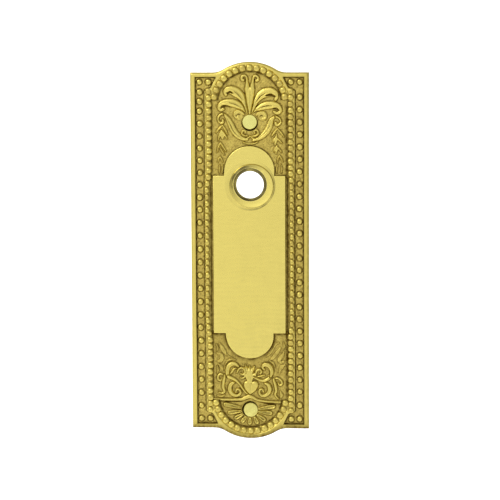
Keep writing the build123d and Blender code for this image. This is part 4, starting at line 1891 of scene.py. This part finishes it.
def lower_strokes() -> list[Stroke]:
    """All strokes about the lower screw, lowest first.

    Returns:
        The strokes.
    """
    bar = [(-19.6, 6.0), (-17.3, 5.3), (-13.0, 5.1), (-8.6, 5.1), (-4.4, 5.3), (-2.5, 6.1),
           (-0.5, 6.7), (1.5, 6.0), (3.2, 5.1), (6.7, 4.4), (11.1, 4.1), (19.2, 3.9)]
    return shell_petals() + foliage() + scrolls() + [
        groove([(-16.2, 4.0), (-10.0, 4.0), (-4.4, 4.2)], 0.9, 0.25),
        groove([(4.6, 3.8), (10.0, 2.9), (15.6, 2.8)], 0.8, 0.2),
        Stroke(bar, [1.2, 1.4, 1.4, 1.5, 1.9, 2.1, 1.9, 1.5, 1.3, 1.2, 1.2], 0.8, Form.CORD,
               polish=0.8),
    ]


@dataclass
class KnobCollar:
    """Collar round the knob bore, cast a little off the bore's centre."""

    bore_radius: float = 8.05
    ledge_radius: float = 6.65
    ledge: float = 1.3
    crest_radius: float = 10.3
    foot_radius: float = 12.0
    dish: float = 0.4
    shift: Point = (0.98, -0.38)
    lean: Point = (0.25, 0.4)
    boss_radius: float = 13.05
    boss_sink: float = 0.15
    liner_radius: float = 9.3
    segments: int = 96

    def build(self) -> bpy.types.Object:
        """Make the collar with the bore, its ledge and the boss behind it.

        Returns:
            The new piece.
        """
        top, panel = SIZES.collar, SIZES.panel
        behind = SIZES.back_hollow + self.boss_sink

        def run(radius: float, level: float, shift: Point, *rows: tuple[float, ...]) -> list[Ring]:
            """Rings that lie about one radius and level.

            Args:
                radius: Radius that the steps are taken from.
                level: Level that the rises are taken from.
                shift: How far a ring with a full share is moved off the axis.
                rows: Step out, rise, share of the shift, and the patina, upper-left painted shade
                    and lower-right painted shade of each ring.

            Returns:
                The rings.
            """
            return [
                Ring(radius + out, level + up, shift[0] * share, shift[1] * share, *patina_and_shade_values)
                for out, up, share, *patina_and_shade_values in rows
            ]

        rings = [
            # bore wall and ledge, painted dark: patina and the shade inside the bore
            Ring(self.ledge_radius, 0.0, age=0.5),
            Ring(self.ledge_radius, self.ledge - 0.1, age=0.9),
            Ring(self.ledge_radius + 0.1, self.ledge, age=0.85),
            Ring(self.bore_radius - 0.05, self.ledge, age=1.0),
            Ring(self.bore_radius, self.ledge + 0.1, age=1.0),
            # mouth of the bore, dark at its edge, and the inner slope to the crest, with painted
            # shade on its upper left
            *run(self.bore_radius, top - self.dish, self.lean, (0, -0.4, 1, 0.95),
                 (0, -0.15, 1, 0.7), (0.06, -0.04, 1, 0.2), (0.22, 0, 1, 0.0, 0.1),
                 (0.42, 0, 1, 0.0, 0.9)),
            *run(self.bore_radius, top - self.dish, self.shift, (0.8, 0.1, 0.6, 0.0, 1.0)),
            # crest, with painted shade on its upper left and a painted shadow line on its lower
            # right
            *run(self.crest_radius, top, self.shift, (-0.5, -0.1, 1, 0.0, 1.0),
                 (-0.15, -0.01, 1, 0.0, 0.9), (0, 0, 1, 0.0, 0.7, 0.3),
                 (0.12, -0.05, 1, 0.1, 0.7, 0.9), (0.2, -0.3, 1, 0.15, 0.6, 0.5)),
            # wall and the fillet at its foot, with painted shade on the upper left and painted
            # shadow on the lower right; the thin skirt laid just over the panel carries only the
            # collar's painted shadow
            *run(self.crest_radius, panel, self.shift, (0.32, 0.5, 0.97, 0.1, 0.6, 0.2),
                 (0.42, 0.22, 0.95, 0.0, 0.6, 0.3), (0.6, 0.17, 0.88, 0.0, 0.2, 0.5)),
            *run(self.foot_radius, panel, self.shift, (0, 0.06, 0.15, 0.0, 0.1, 0.85),
                 (0.4, 0.012, 0, 0.0, 0.0, 0.4), (0.43, -0.6, 0, 0.8)),
            # hidden liner and the boss behind it
            Ring(self.liner_radius, panel - 0.9, age=0.8),
            Ring(self.liner_radius, behind, age=0.8),
            Ring(self.boss_radius, behind, age=0.5),
            Ring(self.boss_radius, 0.12, age=0.4),
            Ring(self.boss_radius - 0.12, 0.0, age=0.2),
        ]
        mesh = turned_mesh("knob_collar", rings, self.segments)
        mesh.transform(Matrix.Scale(MM, 4))
        return finished("knob_collar", mesh, 35.0)


@dataclass
class ScrewSeat:
    """Countersunk seat of one screw, let into the carving."""

    name: str
    z: float
    shift: Point
    mouth_radius: float = 3.9
    flange_radius: float = 4.45
    neck_radius: float = 2.2
    back: float = 0.02
    lip: float = 0.04
    segments: int = 64

    def build(self) -> bpy.types.Object:
        """Make the seat as a closed ring.

        Returns:
            The new piece.
        """
        ground = SIZES.ground
        rings = [
            # hole and countersink painted dark: patina and the shade of the gap round the screw
            # head
            Ring(self.neck_radius, self.back, age=0.8),
            Ring(self.neck_radius, 0.4, age=1.0),
            Ring(self.mouth_radius - 0.3, 1.1, age=1.0),
            Ring(self.mouth_radius, 1.4, age=1.0),
            Ring(self.mouth_radius, ground - 0.1, age=1.0),
            Ring(self.mouth_radius + 0.1, ground + self.lip, age=0.3),
            Ring(self.flange_radius - 0.1, ground + self.lip, age=0.2),
            Ring(self.flange_radius, ground - 0.15, age=0.7),
            Ring(self.flange_radius, self.back, age=0.8),
        ]
        mesh = turned_mesh(self.name, rings, self.segments, matte=1.0)
        across, up = self.shift
        middle = (across, 0, self.z - SIZES.bore_z + up)
        mesh.transform(Matrix.Scale(MM, 4) @ Matrix.Translation(middle))
        return finished(self.name, mesh, 50.0)


@dataclass
class FixingScrew:
    """One wood screw with a low smooth crown."""

    name: str
    z: float
    wear: float
    head_radius: float = 3.65
    crown: float = 2.97
    doming: float = 0.16
    wear_age: float = 0.38
    rim: float = 2.2
    shank_radius: float = 1.75
    core_radius: float = 1.2
    tip: float = -16.8
    thread_start: float = -2.6
    thread_end: float = -15.9
    turns: float = 10.0
    thread_share: float = 0.85
    segments: int = 64

    def build(self) -> bpy.types.Object:
        """Make the head, neck, core and point.

        Returns:
            The new piece.
        """
        rings = [
            Ring(self.head_radius * share, self.crown - self.doming * share**2,
                 age=self.wear_age * self.wear)
            for share in (0.0, 0.3, 0.6, 0.8, 0.92)
        ]
        rings += [
            Ring(self.head_radius - 0.12, self.crown - 0.3, age=0.15),
            Ring(self.head_radius, self.crown - 0.5, age=0.5),
            Ring(self.head_radius, self.rim - 0.05, age=0.9),
            Ring(self.shank_radius, self.rim - 2.2, age=0.3),
            Ring(self.shank_radius, self.thread_start + 0.4),
            Ring(self.core_radius, self.thread_start, age=0.3),
            Ring(self.core_radius, self.tip + 3.2, age=0.3),
            Ring(self.core_radius * 0.6, self.tip + 1.2),
            Ring(0.12, self.tip + 0.1),
            Ring(0.0, self.tip),
        ]
        mesh = turned_mesh(self.name, rings, self.segments, matte=self.wear)
        mesh.transform(Matrix.Scale(MM, 4) @ Matrix.Translation((0, 0, self.z - SIZES.bore_z)))
        return finished(self.name, mesh, 38.0)

    def thread_tree(self) -> bpy.types.NodeTree:
        """Tree that winds a thread down the core.

        Returns:
            The tree.
        """
        sizes = ("Turns", "Radius", "End Radius", "Length", "Depth")
        net = Net.group(
            self.name + "_thread", "Geometry",
            dict.fromkeys(sizes, "Float") | {"Place": "Vector", "Finish": "Material"},
            {"Thread": "Geometry"},
        )
        given = net.node("NodeGroupInput")
        coil = net.node("GeometryNodeCurveSpiral", {
            "Resolution": 24,
            "Rotations": given["Turns"],
            "Start Radius": given["Radius"],
            "End Radius": given["End Radius"],
            "Height": given["Length"],
        })
        section = net.node("GeometryNodeCurvePrimitiveCircle",
                           {"Resolution": 4, "Radius": given["Depth"]}, mode="RADIUS")
        sweep = net.node("GeometryNodeCurveToMesh", {
            "Curve": coil["Curve"], "Profile Curve": section["Curve"], "Fill Caps": True,
        })
        laid = net.node("GeometryNodeTransform", {
            "Geometry": sweep["Mesh"],
            "Translation": given["Place"],
            "Rotation": (math.radians(-90), 0, 0),
        })
        return net.end_dressed("Thread", laid["Geometry"], given["Finish"])

    def thread(self, finish: bpy.types.Material) -> bpy.types.Object:
        """Make the thread.

        Args:
            finish: Its material.

        Returns:
            The new piece.
        """
        depth = (self.shank_radius - self.core_radius) * self.thread_share
        mesh = bpy.data.meshes.new(self.name + "_path")
        holder = bpy.data.objects.new(self.name + "_path", mesh)
        bpy.context.scene.collection.objects.link(holder)
        values = {
            "Turns": self.turns,
            "Radius": (self.shank_radius - depth) * MM,
            "End Radius": self.core_radius * 0.7 * MM,
            "Length": (self.thread_start - self.thread_end) * MM,
            "Depth": depth * MM,
            "Place": (0.0, -self.thread_start * MM, (self.z - SIZES.bore_z) * MM),
            "Finish": finish,
        }
        return grown(self.name + "_thread", holder, self.thread_tree(), values)


@dataclass(frozen=True)
class Lamp:
    """One soft studio light."""

    name: str
    place: tuple[float, float, float]
    side: float
    watts: float


@dataclass(frozen=True)
class Glow:
    """Soft bright region of the surround, its core and reach in degrees from its middle."""

    way: tuple[float, float, float]
    core: float
    reach: float
    strength: float


@dataclass
class Studio:
    """Camera, lights and the pale surround."""

    target: tuple[float, float, float] = (-0.000244, 0.0, -0.0319685)
    distance: float = 0.9
    yaw: float = -0.06865
    pitch: float = -0.12965
    roll: float = -0.00436
    focal_pixels: float = 1849.05
    floor_z: float = -0.6
    floor_front: float = -6.0
    wall_y: float = 1.4
    wall_top: float = 3.0
    sweep_half_width: float = 6.0
    sweep_radius: float = 0.5
    sweep_glow: tuple[Point, Point] = ((0.2, 0.33), (1.1, 0.55))
    lamps: tuple[Lamp, ...] = (Lamp("lamp_key", (-0.8, -0.9, 0.8), 0.7, 6.5),)
    glows: tuple[Glow, ...] = (
        Glow((0.0, 0.0, 1.0), 0.0, 180.0, 0.55),
        Glow((0.05, -1.0, 0.06), 12.0, 62.0, 0.83),
        Glow((-0.7, -0.5, 0.6), 10.0, 60.0, 0.42),
    )

    def camera(self) -> None:
        """Set the camera where the photograph was taken from."""
        data = bpy.data.cameras.new("camera")
        data.sensor_width = SENSOR_WIDTH
        data.lens = self.focal_pixels * SENSOR_WIDTH / IMAGE_SIDE
        data.clip_start, data.clip_end = 0.01, 20.0
        made = bpy.data.objects.new("camera", data)
        bpy.context.scene.collection.objects.link(made)
        forward = Vector((
            math.sin(self.yaw) * math.cos(self.pitch),
            math.cos(self.yaw) * math.cos(self.pitch),
            math.sin(self.pitch),
        ))
        right = Vector((math.cos(self.yaw), -math.sin(self.yaw), 0.0))
        up = right.cross(forward)
        turn_right = right * math.cos(self.roll) + up * math.sin(self.roll)
        turn_up = up * math.cos(self.roll) - right * math.sin(self.roll)
        eye = Vector(self.target) - forward * self.distance
        axes = Matrix((turn_right, turn_up, -forward)).transposed()
        made.matrix_world = Matrix.Translation(eye) @ axes.to_4x4()
        bpy.context.scene.camera = made

    def lights(self) -> None:
        """Hang the lamps."""
        for lamp in self.lamps:
            data = bpy.data.lights.new(lamp.name, "AREA")
            data.shape = "SQUARE"
            data.size = lamp.side
            data.energy = lamp.watts
            made = bpy.data.objects.new(lamp.name, data)
            bpy.context.scene.collection.objects.link(made)
            made.location = lamp.place
            aim = Vector(self.target) - Vector(lamp.place)
            made.rotation_euler = aim.to_track_quat("-Z", "Y").to_euler()

    def surround(self) -> None:
        """Fill the world with soft light that is strongest in front and to the upper left."""
        world = bpy.data.worlds.new("studio_air")
        bpy.context.scene.world = world
        world.use_nodes = True
        net = Net(world.node_tree)
        way = net.node("ShaderNodeTexCoord")["Generated"]
        total = 0.0
        for glow in self.glows:
            middle = Vector(glow.way).normalized()
            toward = net.node("ShaderNodeVectorMath", {0: way, 1: middle}, operation="DOT_PRODUCT")
            share = net.node("ShaderNodeMapRange", {
                "Value": toward["Value"],
                "From Min": math.cos(math.radians(glow.reach)),
                "From Max": math.cos(math.radians(glow.core)),
                "To Min": 0.0,
                "To Max": glow.strength,
            }, interpolation_type="SMOOTHSTEP")
            total = net.math("ADD", total, share["Result"])
        air = net.node("ShaderNodeBackground", {"Strength": total})
        net.node("ShaderNodeOutputWorld", {"Surface": air[0]})

    def backdrop(self) -> None:
        """Set up the pale floor and the wall behind it as one sweep that glows, dimly at the floor
        and more brightly at the wall, and so lights the plate too.
        """
        centre = (self.wall_y - self.sweep_radius, self.floor_z + self.sweep_radius)
        profile = [
            (self.floor_front, self.floor_z),
            *arc(centre, self.sweep_radius, -90, 0, 12),
            (self.wall_y, self.wall_top),
        ]
        half = self.sweep_half_width
        vertices = [(x, y, z) for y, z in profile for x in (-half, half)]
        faces = [(2 * i, 2 * i + 1, 2 * i + 3, 2 * i + 2) for i in range(len(profile) - 1)]
        mesh = bpy.data.meshes.new("pale_sweep")
        mesh.from_pydata(vertices, [], faces)
        sweep = finished("pale_sweep", mesh)
        paper, net = Net.material("pale_paper")
        places = net.node("ShaderNodeTexCoord")["Object"]
        (dim_y, dim), (bright_y, bright) = self.sweep_glow
        glow = net.node("ShaderNodeMapRange", {
            "Value": net.node("ShaderNodeSeparateXYZ", {0: places})["Y"],
            "From Min": dim_y,
            "From Max": bright_y,
            "To Min": dim,
            "To Max": bright,
        })
        net.end_shader({
            "Base Color": (0.92, 0.92, 0.92, 1),
            "Roughness": 0.9,
            "Emission Strength": 1.0,
            "Emission Color": glow["Result"],
        })
        mesh.materials.append(paper)

    def build(self) -> None:
        """Set up everything round the object."""
        bpy.context.scene.view_settings.view_transform = "Standard"
        self.camera()
        self.lights()
        self.surround()
        self.backdrop()


def hand_over(piece: bpy.types.Object, slot: str, finish: bpy.types.Material, *nodes: str) -> None:
    """Dress a finished piece and fix it to the body.

    Args:
        piece: The piece.
        slot: Material slot of the record; not used.
        finish: Its material.
        nodes: Solid parts that it stands for.
    """
    piece.data.materials.clear()
    piece.data.materials.append(finish)
    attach(piece, "root")
    if nodes:
        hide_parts(*nodes)
    triangles = sum(len(face.vertices) - 2 for face in piece.data.polygons)
    log.info("%s: %d triangles", piece.name, triangles)


def main() -> None:
    """Build every piece in order and record how large the whole is."""
    logging.basicConfig(level=logging.INFO, format="%(name)s: %(message)s")
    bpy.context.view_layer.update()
    kit = ShaderKit()
    cast, polished = CAST.material(kit), POLISHED.material(kit)
    beaded, bright = BEADED.material(kit), SCREW.material(kit)

    borders = BeadBorders()
    strings = (borders.channel(), borders.close())
    hand_over(Casting().build(strings), "cast_brass", cast, "backplate")
    panel = SmoothPanel()
    hand_over(panel.build(), "cast_brass", polished, "backplate")
    top_z, bottom_z = SIZES.top_screw_z, SIZES.bottom_screw_z
    top_shift, bottom_shift = (0.05, -0.4), (-0.4, 0.4)
    upper = Carving("palmette_carving", top_z, 35.9, 88.6, upper_strokes(), top_shift)
    lower = Carving(
        "scroll_carving", bottom_z, -87.6, -38.7, lower_strokes(), bottom_shift, overall_darkening=0.1
    )
    for carving in (upper, lower):
        hand_over(carving.build(panel), "cast_brass", cast, "backplate")
    close_maker = BeadMaker(squareness=2.8, darkening=0.15)
    for name, string, maker in zip(
        ("channel_beads", "moulding_beads"), strings, (BeadMaker(), close_maker)
    ):
        hand_over(maker.build(name, string, beaded), "cast_brass", beaded, "backplate")
    hand_over(KnobCollar().build(), "cast_brass", polished, "backplate")
    for name, z, shift, wear in (
        ("top", top_z, top_shift, 0.1),
        ("bottom", bottom_z, bottom_shift, 0.32),
    ):
        seat = ScrewSeat(name + "_screw_seat", z, shift)
        hand_over(seat.build(), "cast_brass", cast, "backplate")
        screw = FixingScrew(name + "_brass_screw", z, wear)
        for piece in (screw.build(), screw.thread(bright)):
            hand_over(piece, "screw_brass", bright, name + "_screw")

    Studio().build()


if __name__ == "__main__":
    main()
